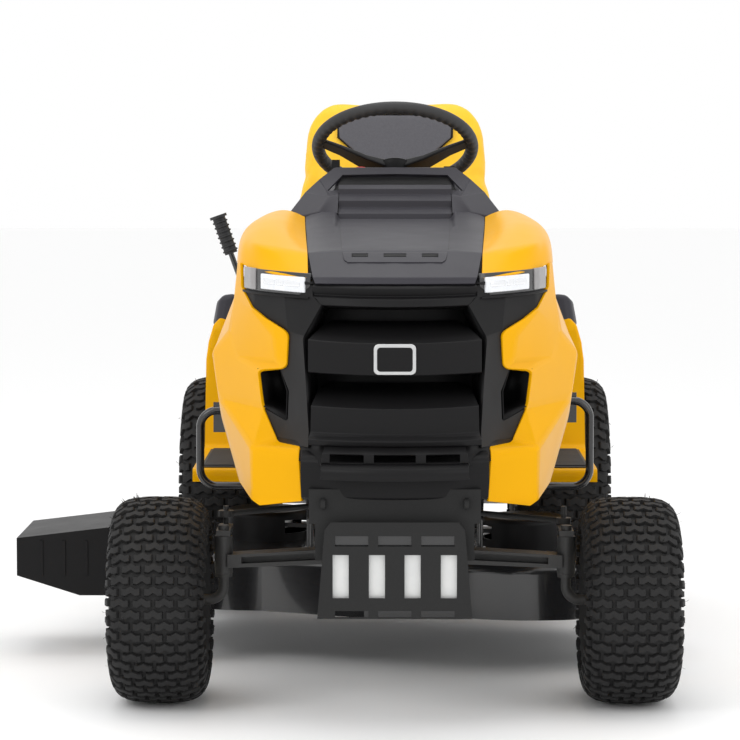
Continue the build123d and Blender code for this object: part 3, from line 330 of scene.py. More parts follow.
def solid_piece(name, shape, material, body, replaced=(), rounding=2.0, segments=3):
    """A closed shape with rounded edges."""
    obj = piece(name, shape, material, body, replaced)
    soften(obj, rounding, segments)
    even_shading(obj)
    return obj


def rounded_copy(node, material, body, slot, width=2.0, segments=3):
    """Stands for a CAD node: the same shape with its sharp edges rounded."""
    tidy = bmesh.new()
    tidy.from_mesh(NODES[node].data)
    bmesh.ops.remove_doubles(tidy, verts=tidy.verts, dist=1e-6)
    bmesh.ops.dissolve_limit(tidy, angle_limit=math.radians(1.0), verts=tidy.verts, edges=tidy.edges)
    for face in tidy.faces:
        face.smooth = True
    mesh = bpy.data.meshes.new(node + "_shell")
    tidy.to_mesh(mesh)
    tidy.free()
    mesh.materials.append(material)
    obj = bpy.data.objects.new(node + "_shell", mesh)
    bpy.context.scene.collection.objects.link(obj)
    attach(obj, body)
    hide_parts(node)
    soften(obj, width, segments, 28.0)
    even_shading(obj)
    return obj


def mirrored(shape):
    points, faces = shape
    return [(-x, y, z) for x, y, z in points], faces


def named(corners, faces):
    """Points and faces from a dictionary of corners and faces written as lists of their names."""
    order = list(corners)
    return list(corners.values()), [tuple(order.index(name) for name in face.split()) for face in faces]


def grid(rows, skip=()):
    """Points and faces of a net of rows, without the skipped (row, column) cells."""
    across = len(rows[0])
    points = [point for row in rows for point in row]
    faces = []
    for i in range(len(rows) - 1):
        for j in range(across - 1):
            if (i, j) not in skip:
                start = i * across + j
                faces.append((start, start + 1, start + across + 1, start + across))
    return points, faces


def blocky(x, y, z):
    """A box from its two x, two y and two z limits."""
    points = [(x[i], y[j], z[k]) for i in (0, 1) for j in (0, 1) for k in (0, 1)]
    return points, [(0, 1, 3, 2), (4, 6, 7, 5), (0, 4, 5, 1), (2, 3, 7, 6), (0, 2, 6, 4), (1, 5, 7, 3)]


def joined(shapes):
    """Joins several (points, faces) shapes into one list of points and faces."""
    points, faces = [], []
    for more_points, more_faces in shapes:
        start = len(points)
        points += more_points
        faces += [tuple(start + i for i in face) for face in more_faces]
    return points, faces


# ---- tyres ----
LUG = 7.0


def tyre_profile(radius, width, rim_radius):
    """(across, radius) points of the carcass from the middle of the tread to a bead."""
    half = width / 2
    top = radius - LUG
    middle = (radius + rim_radius) / 2
    return [
        (0, top), (half * 0.3, top - 0.6), (half * 0.55, top - 2.4), (half * 0.72, top - 6),
        (half * 0.84, top - 12), (half * 0.92, top - 20), (half * 0.965, top - 30), (half, middle + 6),
        (half * 0.985, middle - 8), (half * 0.93, middle - 22), (half * 0.90, middle - 25),
        (half * 0.84, rim_radius + 24), (half * 0.74, rim_radius + 12), (half * 0.68, rim_radius + 2)]


def along_profile(profile, reach):
    """The point and outward direction that lie this far along the profile from its middle."""
    left = abs(reach)
    for (x0, r0), (x1, r1) in zip(profile, profile[1:]):
        step = math.hypot(x1 - x0, r1 - r0)
        if left <= step or (x1, r1) == profile[-1]:
            share = left / step
            x, r = x0 + (x1 - x0) * share, r0 + (r1 - r0) * share
            out = ((r0 - r1) / step, (x1 - x0) / step)
            side = 1 if reach >= 0 else -1
            return side * x, r, side * out[0], out[1]
        left -= step


def round_axle(centre, x, r, angle):
    """A point r from a wheel's axle and x along it."""
    return (centre[0] + x, centre[1] + r * math.sin(angle), centre[2] + r * math.cos(angle))


def carcass(centre, profile, steps=96):
    loop = [(-x, r) for x, r in reversed(profile[1:])] + profile
    points, faces = [], []
    count = len(loop)
    for step in range(steps):
        angle = 2 * math.pi * step / steps
        points += [round_axle(centre, x, r, angle) for x, r in loop]
    for step in range(steps):
        base, following = step * count, ((step + 1) % steps) * count
        for i in range(count - 1):
            faces.append((base + i, base + i + 1, following + i + 1, following + i))
        faces.append((base + count - 1, base, following, following + count - 1))
    return points, faces


def chevron(centre, profile, reach, angle, wide, long, radius):
    """One tread block: a shallow V whose top is a little smaller than its foot."""
    sweep = long * 0.55
    plan = [(-0.5, 0.0), (-0.28, -0.15), (0.0, 0.55), (0.28, -0.15), (0.5, 0.0)]
    points, faces = [], []
    for lift, shrink in ((-1.5, 1.0), (LUG - 0.8, 0.90), (LUG, 0.82)):
        for end in (-0.5, 0.5):
            for across, dip in plan:
                x, r, out_x, out_r = along_profile(profile, reach + across * wide * shrink)
                arc = (end * long * shrink + dip * sweep - sweep * 0.1) / radius
                points.append(round_axle(centre, x + out_x * lift, r + out_r * lift, angle + arc))
    n = len(plan)
    ring = list(range(n)) + list(range(2 * n - 1, n - 1, -1))
    for level in (0, 2 * n):
        for a, b in zip(ring, ring[1:] + ring[:1]):
            faces.append((level + a, level + b, level + 2 * n + b, level + 2 * n + a))
    top = 4 * n
    for i in range(n - 1):
        faces.append((top + i, top + i + 1, top + n + i + 1, top + n + i))
    return points, faces


def vent_hair(centre, profile, reach, angle, length, lean):
    """A thin whisker of rubber left by the mould."""
    x, r, out_x, out_r = along_profile(profile, reach)
    points, faces = [], []
    sides = 4
    for share, thick in ((0, 0.8), (0.5, 0.7), (1, 0.4)):
        lift = LUG - 1 + length * share
        swing = angle + lean * share * share
        middle = Vector(round_axle(centre, x + out_x * lift, r + out_r * lift, swing))
        for k in range(sides):
            turn = 2 * math.pi * k / sides
            points.append(tuple(middle + Vector((math.cos(turn) * thick, math.sin(turn) * thick, 0))))
    for level in (0, sides):
        for k in range(sides):
            following = (k + 1) % sides
            faces.append((level + k, level + following, level + sides + following, level + sides + k))
    faces.append(tuple(range(2 * sides, 3 * sides)))
    return points, faces


def turf_tyre(node, body, rim_node, rows, block):
    """Carcass with rows of V-shaped blocks, each row set half a block over from the last."""
    low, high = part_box(node)
    rim_low, rim_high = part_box(rim_node)
    middle = ((low + high) / 2 - AXLE_POINT) / MM
    centre = (middle.x, middle.y, middle.z)
    radius = (high.z - low.z) / 2 / MM
    width = (high.x - low.x) / MM
    rim_radius = (rim_high.z - rim_low.z) / 2 / MM - 11
    profile = tyre_profile(radius, width, rim_radius)
    shapes = [carcass(centre, profile)]
    pitch = 2 * math.pi / rows
    long = radius * pitch * 0.66
    limit = width * 0.62
    for row in range(rows):
        shift = block / 2 if row % 2 else 0
        count = int((limit + shift) // block)
        places = [k * block + shift for k in range(-count - 1, count + 1)]
        for reach in places:
            if abs(reach) < limit:
                shapes.append(chevron(centre, profile, reach, row * pitch, block * 0.88, long, radius))
    chance = random.Random(len(node))
    for _ in range(110):
        angle = chance.uniform(-2.3, 2.3)
        reach = chance.choice((-1, 1)) * chance.uniform(width * 0.18, width * 0.62)
        shapes.append(vent_hair(centre, profile, reach, angle, chance.uniform(4, 11),
                                chance.uniform(-0.04, 0.04)))
    obj = piece(node + "_tread", joined(shapes), RUBBER, body, (node,))
    edges_by_angle(obj, 30)


def edges_by_angle(obj, degrees):
    """Keeps edges sharper than this angle crisp under smooth shading."""
    shape = bmesh.new()
    shape.from_mesh(obj.data)
    limit = math.radians(degrees)
    for edge in shape.edges:
        edge.smooth = len(edge.link_faces) == 2 and edge.calc_face_angle(0) < limit
    shape.to_mesh(obj.data)
    shape.free()


for side in SIDES:
    turf_tyre("front_tyre_" + side, "front_wheel_" + side, "front_rim_" + side, 56, 40)
    turf_tyre("rear_tyre_" + side, "rear_wheel_" + side, "rear_rim_" + side, 60, 50)


# ---- hood ----
HOOD_CORE = (0, 150, 600)

SIDE_CORNERS = {
    "lamp_top": (282, -30, 814), "lamp_side": (280, -48, 772), "lamp_low": (256, -100, 731),
    "nose_top": (190, -190, 697), "nose_low": (193, -190, 633), "nose_back": (217, -160, 690),
    "nose_under": (212, -164, 648), "elbow": (290, -15, 641), "brow_side": (305, 35, 681),
    "hip": (343, 105, 644), "knee": (331, 60, 566), "hip_low": (326, 110, 520), "hem_front": (286, 0, 408),
    "vent_top": (247, -130, 627), "vent_side": (239, -140, 563), "vent_low": (209, -165, 500),
    "chin_top": (168, -240, 500), "chin_fold": (170, -240, 487), "chin_low": (165, -240, 402),
    "chin_corner": (242, -180, 387), "chin_side": (257, -150, 393), "jaw": (259, -150, 490),
    "side_mid": (297, 30, 745), "side_top": (289, 10, 814), "rear_top": (301, 398, 799),
    "rear_high": (312, 398, 740), "rear_hip": (345, 392, 650), "rear_low": (335, 345, 530),
    "rear_hem": (301, 300, 408)}
SIDE_FACES = [
    "lamp_top lamp_side side_mid side_top", "lamp_side lamp_low brow_side side_mid",
    "lamp_low nose_back elbow brow_side", "nose_back nose_under elbow", "lamp_low nose_top nose_back",
    "nose_top nose_low nose_under nose_back", "nose_under nose_low vent_top elbow",
    "elbow vent_top vent_side knee", "vent_side vent_low jaw knee", "brow_side elbow knee hip",
    "vent_low chin_top chin_fold jaw", "chin_fold chin_low chin_corner chin_side jaw",
    "knee jaw chin_side hem_front", "hip knee hem_front hip_low", "side_top side_mid rear_high rear_top",
    "side_mid brow_side hip rear_hip rear_high", "hip hip_low rear_low rear_hip",
    "hip_low hem_front rear_hem rear_low"]

side_panel = named(SIDE_CORNERS, SIDE_FACES)
panel("hood_side_left", side_panel, YELLOW, "hood", ("hood_side_panels",), rounding=9)
panel("hood_side_right", mirrored(side_panel), YELLOW, "hood", rounding=9)

# Rows of the shoulder run from the dark cover out to the side; along each row the points run back.
SHOULDER_ROWS = [
    [(154, -200, 794), (157, -120, 836), (164, 50, 853), (171, 220, 870), (177, 398, 887)],
    [(206, -166, 798), (205, -104, 841), (208, 60, 873), (212, 230, 891), (212, 398, 904)],
    [(246, -108, 803), (243, -76, 846), (250, 80, 879), (250, 230, 895), (248, 398, 896)],
    [(270, -54, 809), (268, -28, 852), (281, 110, 868), (286, 240, 875), (283, 398, 875)],
    [(282, -20, 813), (284, 8, 848), (294, 120, 846), (298, 250, 848), (297, 398, 848)],
    [(287, 8, 814), (291, 45, 813), (297, 130, 808), (300, 255, 804), (302, 398, 801)]]


def shoulder(name, shape, replaced=()):
    across = len(SHOULDER_ROWS[0])
    fold = {row * across + 1 for row in range(4)}
    obj = piece(name, shape, YELLOW, "hood", replaced, creases=[(fold, 0.75)], core=HOOD_CORE)
    smooth(obj, 3)
    thicken(obj, 6)
    soften(obj, 1.2, 2, 40.0)
    even_shading(obj)


shoulder("hood_shoulder_left", grid(SHOULDER_ROWS), ("hood_shoulders",))
shoulder("hood_shoulder_right", mirrored(grid(SHOULDER_ROWS)))

# The dark cover between the shoulders: (y, half width, height at the edge, height in the middle).
COVER_STATIONS = [
    (-212, 141, 785, 785), (-206, 145, 795, 796), (-120, 155.5, 834, 838), (-112, 156, 836, 841),
    (50, 162.5, 852, 858), (130, 165.5, 860, 865), (220, 169.5, 869, 872), (310, 173, 878, 879),
    (398, 175.5, 887, 883)]
RAIL_INNER, RAIL_OUTER = 109, 116
RAIL_START, RAIL_RISE = 130, 13


def between(stations, y):
    """The station values at y, in straight lines from one station to the next."""
    for before, after in zip(stations, stations[1:]):
        if y <= after[0] or after is stations[-1]:
            share = (y - before[0]) / (after[0] - before[0])
            return [a + (b - a) * share for a, b in zip(before, after)]


def cover_point(x, y, lift=0.0):
    """A point of the cover's surface: flat in the middle, a step up to each side rail, then rolling down."""
    _, half, edge, middle = between(COVER_STATIONS, y)
    share = abs(x) / half
    z = middle + (edge - middle) * share ** 4
    if abs(x) > (RAIL_INNER + RAIL_OUTER) / 2 and y > RAIL_START:
        fall = max(0.0, (share - 0.72) / 0.28)
        z += RAIL_RISE * (y - RAIL_START) / (398 - RAIL_START) * (1 - fall ** 2)
    return (x, y - 22 * (1 - share ** 2) * max(0.0, min(1.0, -y / 120)), z + lift)


def top_cover():
    rows = []
    for y, half, _, _ in COVER_STATIONS:
        shares = [-1.0, -0.94, -0.82, -RAIL_OUTER / half, -RAIL_INNER / half, -0.4, 0.0]
        shares += [-share for share in reversed(shares[:-1])]
        rows.append([cover_point(share * half, y) for share in shares])
    obj = piece("hood_top_cover_skin", grid(rows), COVER_GREY, "hood", ("hood_top_cover",),
                core=HOOD_CORE)
    soften(obj, 2.5, 3, 12.0)
    thicken(obj, 5)
    soften(obj, 1.0, 2, 40.0)
    even_shading(obj)


HATCH_ROWS = [(-158, 84), (-150, 90), (-140, 92), (-128, 93.5), (-100, 96), (40, 100), (200, 104), (372, 107)]
SLOT_EDGES = (20, 48, 77)


def hatch():
    """Lid let into the cover, with three slots near its front edge."""
    rows = []
    for y, half in HATCH_ROWS:
        inner, middle, outer = SLOT_EDGES
        across = [-half, -outer, -middle, -inner, inner, middle, outer, half]
        rows.append([cover_point(x, y, 1.6) for x in across])
    slots = {(2, 1), (2, 3), (2, 5)}
    obj = piece("hood_hatch", grid(rows, slots), COVER_GREY, "hood", core=HOOD_CORE)
    thicken(obj, 3)
    soften(obj, 0.7, 2, 30.0)
    even_shading(obj)
    # Black sheet under the three slots: painted shade inside them.
    slot_shade_rows = [[cover_point(x, y, 0.9) for x in range(-80, 81, 10)] for y in (-141, -134, -127)]
    slot_shade = piece("hatch_slot_shade", grid(slot_shade_rows), BLACK_PLASTIC, "hood", core=HOOD_CORE)
    thicken(slot_shade, 0.6)


def seam_shade_strip(name, flip):
    """Dark strip under the joint between the cover and a shoulder: painted shade in the gap."""
    rows = []
    for y, half, edge, _ in COVER_STATIONS[1:]:
        rows.append([(half - 14, y, edge - 9), (half + 14, y, edge - 11)])
    obj = piece(name, flip(grid(rows)), BLACK_PLASTIC, "hood", core=HOOD_CORE)
    thicken(obj, 2)


top_cover()
hatch()
seam_shade_strip("seam_shade_strip_left", lambda shape: shape)
seam_shade_strip("seam_shade_strip_right", mirrored)


# ---- grille and lamps ----
BOW = 28
COLUMNS = 12


def bowed(half, y, z, droop=0.0):
    """A row across the front, bulging forward and drooping a little in the middle."""
    row = []
    for step in range(COLUMNS + 1):
        share = 2 * step / COLUMNS - 1
        bulge = 1 - share * share
        row.append((share * half, y - BOW * bulge, z - droop * bulge))
    return row


def front_strip(name, profile, replaced=(), rounding=2.0, wall=4.0):
    """A bowed moulding from the (half width, y, z, droop) points of its profile."""
    rows = [bowed(*point) for point in profile]
    obj = piece(name, grid(rows), BLACK_PLASTIC, "hood", replaced, core=(0, 0, 600))
    soften(obj, rounding, 3, 14.0)
    thicken(obj, wall)
    soften(obj, 0.8, 2, 40.0)
    even_shading(obj)
    return obj


front_strip("grille_brow", [
    (140, -180, 784, 2), (143, -205, 784, 2), (146, -212, 779, 3), (146, -206, 765, 3), (141, -218, 761, 3),
    (130, -226, 747, 2), (128, -180, 738, 0), (128, -130, 738, 0)], ("hood_grille",))
front_strip("grille_slat_upper", [
    (110, -140, 716, 0), (127, -186, 710, 3), (152, -262, 689, 6), (152, -262, 632, 5), (150, -200, 624, 0)])
front_strip("grille_slat_lower", [
    (118, -140, 606, 0), (135, -205, 599, 3), (146, -296, 576, 4), (147, -294, 530, 2), (149, -300, 524, 1),
    (151, -312, 518, 1), (150, -306, 508, 0), (140, -292, 506, 0)])

VENT_ROWS = [(122, -300, 509), (126, -316, 495), (128, -314, 479), (130, -310, 474)]
VENT_XS = (-113, -54, -36, 36, 54, 113)


def chin_vent():
    """Sloping frame with three openings under the lower slat."""
    rows = []
    for half, y, z in VENT_ROWS:
        row = []
        for x in (-half, *VENT_XS, half):
            row.append((x, y - BOW * (1 - (x / 150) ** 2), z))
        rows.append(row)
    obj = piece("chin_vent_frame", grid(rows, {(1, 1), (1, 3), (1, 5)}), BLACK_PLASTIC, "hood",
                core=(0, 0, 500))
    thicken(obj, 5)
    soften(obj, 1.0, 2, 30.0)
    even_shading(obj)


chin_vent()
front_strip("chin_lip", [
    (130, -300, 479, 0), (129, -322, 477, 0), (128, -334, 470, 0), (128, -337, 460, 0), (130, -332, 450, 0)],
    rounding=4)
front_strip("chin_panel", [
    (163, -256, 494, 0), (164, -272, 486, 0), (165, -280, 478, 0), (165, -283, 440, 0), (164, -280, 414, 0),
    (162, -262, 408, 0)], rounding=4)

FASCIA_CORNERS = {
    "brow_end": (146, -206, 782), "under_brow": (145, -212, 763), "recess_top": (130, -226, 747),
    "recess_side": (162, -232, 690), "recess_mid": (156, -252, 609), "recess_low": (151, -266, 526),
    "lamp_inner": (200, -160, 764), "lamp_outer": (254, -92, 762), "edge_high": (276, -50, 766),
    "edge_low": (256, -92, 727), "column_top": (192, -178, 696), "column_mid": (204, -166, 630),
    "column_pinch": (188, -196, 593), "column_foot": (190, -200, 539), "floor_side": (240, -132, 560),
    "floor_low": (211, -158, 499), "floor_front": (170, -232, 500), "floor_in": (152, -268, 500)}
FASCIA_FACES = [
    "brow_end under_brow lamp_inner", "under_brow recess_top recess_side column_top lamp_inner",
    "lamp_inner column_top edge_low lamp_outer", "lamp_outer edge_low edge_high",
    "recess_side recess_mid column_pinch column_mid column_top",
    "recess_mid recess_low column_foot column_pinch", "recess_low floor_in floor_front floor_low column_foot",
    "column_foot floor_low floor_side"]
fascia = named(FASCIA_CORNERS, FASCIA_FACES)
panel("fascia_left", fascia, BLACK_PLASTIC, "hood", rounding=5, wall=4, core=(0, 0, 600))
panel("fascia_right", mirrored(fascia), BLACK_PLASTIC, "hood", rounding=5, wall=4,
      core=(0, 0, 600))

# Black walls behind the recess and black pockets behind the side vents are painted shade: they stand in for the dark
# of the shaded engine bay.
RECESS_SHADE_WALLS = [
    [(130, -222, 745), (161, -228, 690), (155, -248, 609), (150, -262, 520), (140, -262, 410)],
    [(118, -120, 745), (140, -120, 690), (140, -120, 609), (140, -120, 520), (140, -150, 410)]]
SHADE_POCKET_MOUTH = [(205, -160, 634), (247, -124, 628), (240, -134, 563), (192, -196, 540), (190, -192, 593)]


def shade_pocket():
    """A pocket behind a side vent, closed at its back: black, painted shade of the engine bay."""
    count = len(SHADE_POCKET_MOUTH)
    points = SHADE_POCKET_MOUTH + [(150 + (x - 150) * 0.8, y + 110, 590 + (z - 590) * 0.9) for x, y, z in SHADE_POCKET_MOUTH]
    faces = [(i, (i + 1) % count, count + (i + 1) % count, count + i) for i in range(count)]
    return points, faces + [tuple(range(2 * count - 1, count - 1, -1))]


for side, flip in (("left", lambda shape: shape), ("right", mirrored)):
    for name, shape in (("recess_shade_wall_", grid(RECESS_SHADE_WALLS)), ("vent_shade_pocket_", shade_pocket())):
        obj = piece(name + side, flip(shape), BLACK_PLASTIC, "hood")
        thicken(obj, 2)
# Black plate behind the grille: painted shade of the engine bay.
front_strip("grille_shade_back", [(140, -112, 745, 0), (142, -112, 600, 0), (142, -140, 410, 0)])

# Lamp band: the path of the bezel in plan, from the brow out to the side panel.
LAMP_PATH = [(150, -203), (176, -184), (206, -156), (236, -122), (258, -88), (274, -52)]


def lamp_band(first, last, low, high, proud, drop=0.0, steps=14):
    """Part of the band between two shares of its path, standing proud of it and rising outwards."""
    lengths = [math.dist(a, b) for a, b in zip(LAMP_PATH, LAMP_PATH[1:])]
    total = sum(lengths)
    rows = [[], []]
    for step in range(steps + 1):
        left = total * (first + (last - first) * step / steps)
        for (a, b), length in zip(zip(LAMP_PATH, LAMP_PATH[1:]), lengths):
            if left <= length + 1e-6:
                break
            left -= length
        share = left / length
        x, y = a[0] + (b[0] - a[0]) * share, a[1] + (b[1] - a[1]) * share
        nx, ny = (b[1] - a[1]) / length, -(b[0] - a[0]) / length
        rise = 6 * (first + (last - first) * step / steps)
        rows[0].append((x + nx * proud, y + ny * proud, low + rise))
        rows[1].append((x + nx * (proud - drop), y + ny * (proud - drop), high + rise))
    return grid(rows)


LAMP_CORE_X, LAMP_CORE_Z = 120, 780


def lamp(side, flip):
    inward = (LAMP_CORE_X if side == "left" else -LAMP_CORE_X, 0, LAMP_CORE_Z)
    bezel = piece("lamp_bezel_" + side, flip(lamp_band(0.0, 1.0, 760, 802, 0)), GLOSS_BLACK, "hood",
                  core=inward)
    thicken(bezel, 6)
    soften(bezel, 1.5, 2, CORNER_ANGLE)
    lens = piece("lamp_lens_" + side, flip(lamp_band(0.05, 0.62, 767, 795, 4)), LAMP_GLOW, "hood",
                 ("headlight_lenses",), core=inward)
    thicken(lens, 6)
    soften(lens, 2.6, 4, CORNER_ANGLE)
    even_shading(lens)
    for number, (first, last) in enumerate(((0.10, 0.28), (0.30, 0.39), (0.41, 0.57))):
        tube = piece("lamp_reflector_%s_%d" % (side, number),
                     flip(lamp_band(first, last, 777, 787, 5.2, steps=4)),
                     LAMP_CHROME, "hood", core=inward)
        thicken(tube, 3)
        soften(tube, 1.0, 2, CORNER_ANGLE)
    marker = piece("lamp_marker_" + side, flip(lamp_band(0.72, 0.97, 764, 803, 2.5)), LAMP_GREY, "hood",
                   core=inward)
    thicken(marker, 4)
    soften(marker, 1.2, 2, CORNER_ANGLE)
    sill = piece("lamp_sill_" + side, flip(lamp_band(0.0, 0.98, 757, 761, 5)), BLACK_PLASTIC, "hood",
                 core=inward)
    thicken(sill, 12)
    soften(sill, 1.0, 2, CORNER_ANGLE)


lamp("left", lambda shape: shape)
lamp("right", mirrored)


def filler(side, flip):
    """Black web between the chin vent's frame and the side panel's lower corner."""
    rows = [[(118, -300, 512), (170, -232, 510), (212, -160, 506)],
            [(122, -308, 470), (172, -236, 474), (214, -160, 480)]]
    obj = piece("chin_filler_" + side, flip(grid(rows)), BLACK_PLASTIC, "hood")
    thicken(obj, 2)


filler("left", lambda shape: shape)
filler("right", mirrored)


def disc_ring(centre, axis, rings, steps=48):
    """A turned shape round an axis, from (radius, height) rings, closed at both ends."""
    turn = Vector(axis).normalized().to_track_quat("Z", "Y").to_matrix()
    points, faces = [], []
    for radius, height in rings:
        for step in range(steps):
            angle = 2 * math.pi * step / steps
            local = Vector((radius * math.cos(angle), radius * math.sin(angle), height))
            points.append(tuple(Vector(centre) + turn @ local))
    for i in range(len(rings) - 1):
        for step in range(steps):
            following = (step + 1) % steps
            faces.append((i * steps + step, i * steps + following, (i + 1) * steps + following,
                          (i + 1) * steps + step))
    faces.append(tuple(range(steps - 1, -1, -1)))
    top = (len(rings) - 1) * steps
    faces.append(tuple(range(top, top + steps)))
    return points, faces


# ---- cowl between the hood and the dash ----
COWL_CORNERS = {
    "rear_mid": (0, 520, 983), "rear": (123, 520, 981), "shoulder": (150, 505, 960), "root": (179, 480, 934),
    "tip": (214, 425, 889), "in_low": (179, 405, 890), "foot": (150, 404, 897), "rail_foot": (113, 404, 894),
    "ridge": (129, 440, 927), "rail_top": (112, 445, 930), "mouth": (105, 508, 968), "flare": (138, 478, 937),
    "mouth_mid": (0, 508, 970), "rail_end": (112, 480, 938), "tip_low": (210, 432, 872),
    "root_low": (176, 500, 900),
    "foot_low": (150, 404, 868), "in_under": (179, 408, 868)}
COWL_FACES = [
    "tip root ridge foot in_low", "root shoulder flare ridge", "foot ridge rail_top rail_foot",
    "shoulder rear mouth flare", "rear rear_mid mouth_mid mouth", "ridge flare rail_end rail_top",
    "tip tip_low root_low root", "in_low in_under tip_low tip", "foot foot_low in_under in_low"]
cowl = named(COWL_CORNERS, COWL_FACES)
COWL_CORE = (0, 520, 860)
panel("cowl_left", cowl, COVER_GREY, "root", rounding=3, wall=4, core=COWL_CORE)
panel("cowl_right", mirrored(cowl), COVER_GREY, "root", rounding=3, wall=4, core=COWL_CORE)

LOUVRE_HALF = 112
LOUVRE_TREADS = [(408, 893, 432, 905), (433, 918, 456, 930), (457, 941, 479, 949)]
LOUVRE_DROP = 14


def louvres():
    """Steps that climb to the dash, each a riser with a tread sloping back from its top."""
    profile = [(404, LOUVRE_TREADS[0][1] - LOUVRE_DROP)]
    for y0, z0, y1, z1 in LOUVRE_TREADS:
        profile += [(y0, z0), (y1, z1)]
    rows = [[(x, y, z) for x in (-LOUVRE_HALF, -40, 40, LOUVRE_HALF)] for y, z in profile]
    obj = piece("cowl_louvres", grid(rows), COVER_GREY, "root", core=COWL_CORE)
    thicken(obj, 3)
    soften(obj, 1.5, 3, 20)
    even_shading(obj)
    strip = [[(x * wide, y, z) for x in (-1, -0.5, 0.5, 1)] for wide, y,
             z in ((128, 480, 933), (116, 488, 943), (106, 510, 963))]
    dark = piece("cowl_strip", grid(strip), BLACK_PLASTIC, "root", core=COWL_CORE)
    thicken(dark, 2)
    soften(dark, 0.6, 2, 30)


def cowl_shade_sheet():
    """Dark sheet under the cowl's joints: painted shade in the gaps."""
    rows = [[(-172, 416, 872), (0, 416, 862), (172, 416, 872)],
            [(-150, 470, 908), (0, 470, 906), (150, 470, 908)],
            [(-112, 512, 950), (0, 512, 950), (112, 512, 950)]]
    obj = piece("cowl_shade_sheet", grid(rows), BLACK_PLASTIC, "root", core=COWL_CORE)
    thicken(obj, 2)


def bulkhead():
    """Black wall that closes the engine bay behind the hood, on both sides of the dash."""
    half = [(0, 872), (180, 868), (262, 850), (290, 800), (318, 700), (322, 610), (290, 580), (286, 436),
            (0, 436)]
    ring = [(x, z) for x, z in half] + [(-x, z) for x, z in reversed(half[1:-1])]
    points = [(x, y, z) for y in (426, 432) for x, z in ring]
    count = len(ring)
    faces = [(i, (i + 1) % count, count + (i + 1) % count, count + i) for i in range(count)]
    faces += [tuple(range(count - 1, -1, -1)), tuple(range(count, 2 * count))]
    solid_piece("dash_bulkhead", (points, faces), BLACK_PLASTIC, "root", rounding=2)


louvres()
cowl_shade_sheet()
bulkhead()

# ---- dash ----
# Side outline of the tower with its half width at each corner.
DASH_OUTLINE = [
    (560, 432, 172), (600, 640, 170), (652, 880, 160), (654, 912, 155), (646, 928, 150), (600, 953, 141),
    (552, 980, 129), (540, 984, 126), (524, 979, 122), (516, 940, 122), (470, 880, 128), (450, 520, 166),
    (404, 432, 170)]


def dash():
    """Tower with a sloping control panel, narrower at the top."""
    count = len(DASH_OUTLINE)
    points = [(half, y, z) for y, z, half in DASH_OUTLINE] + [(-half, y, z) for y, z, half in DASH_OUTLINE]
    faces = [(i, (i + 1) % count, count + (i + 1) % count, count + i) for i in range(count)]
    faces += [tuple(range(count - 1, -1, -1)), tuple(range(count, 2 * count))]
    obj = solid_piece("dash_tower_shell", (points, faces), COVER_GREY, "root", ("dash_tower",),
                      9, 4)
    obj.modifiers["soft edges"].angle_limit = math.radians(14)


dash()
PANEL_NORMAL = Vector((0, 59, 108)).normalized()
PANEL_MIDDLE = Vector((0, 594, 955.5))


def on_panel(x, height):
    return tuple(PANEL_MIDDLE + Vector((x, 0, 0)) + PANEL_NORMAL * height)


for number, (x, radius) in enumerate(((110, 19), (-70, 22), (-120, 17))):
    bezel = disc_ring(on_panel(x, -2), PANEL_NORMAL,
                      [(radius, 0), (radius, 4), (radius - 2, 5), (radius - 6, 5)])
    piece("dash_bezel_%d" % number, bezel, BLACK_PLASTIC, "root")

# ---- steering wheel ----
COLUMN_AXIS = Vector((0, math.sin(math.radians(30)), math.cos(math.radians(30))))
WHEEL_MIDDLE = Vector((0, 660, 1032)) - COLUMN_AXIS * 11
WHEEL_TURN = COLUMN_AXIS.to_track_quat("Z", "Y").to_matrix()
RIM_RADIUS, RIM_HALF = 157.0, 13.4
FINGER_RIBS = 56


def on_wheel(x, y, z):
    """A point of the wheel from its own axes: X across, Y up its face and Z along the column."""
    up = Vector((0, math.cos(math.radians(30)), -math.sin(math.radians(30))))
    return tuple(WHEEL_MIDDLE + Vector((x, 0, 0)) + up * y + COLUMN_AXIS * z)


def wheel_rim():
    """Round rim with ribs for the fingers on its inner and under side."""
    around, section = FINGER_RIBS * 6, 20
    points, faces = [], []
    for i in range(around):
        angle = 2 * math.pi * i / around
        ribs = 0.5 + 0.5 * math.cos(angle * FINGER_RIBS)
        for j in range(section):
            turn = 2 * math.pi * j / section
            under = max(0.0, -math.sin(turn + 0.5))
            r = RIM_HALF - 2.0 * under * ribs
            away = RIM_RADIUS + r * math.cos(turn)
            points.append(on_wheel(away * math.cos(angle), away * math.sin(angle), r * math.sin(turn)))
    for i in range(around):
        for j in range(section):
            a, b = i * section, ((i + 1) % around) * section
            k = (j + 1) % section
            faces.append((a + j, b + j, b + k, a + k))
    return points, faces


def wheel_spoke(angle):
    """Dished spoke, wide at the hub and flat towards the rim."""
    turn = math.radians(angle)
    points, faces = [], []
    for r, half, low, high in ((22, 30, -62, -42), (60, 24, -46, -32), (112, 17, -20, -9), (150, 15, -6, 4)):
        for across, z in ((-half, low), (half, low), (half * 0.8, high), (-half * 0.8, high)):
            x = r * math.cos(turn) - across * math.sin(turn)
            y = r * math.sin(turn) + across * math.cos(turn)
            points.append(on_wheel(x, y, z))
    for level in (0, 4, 8):
        for k in range(4):
            following = (k + 1) % 4
            faces.append((level + k, level + following, level + 4 + following, level + 4 + k))
    faces += [(3, 2, 1, 0), (12, 13, 14, 15)]
    return points, faces


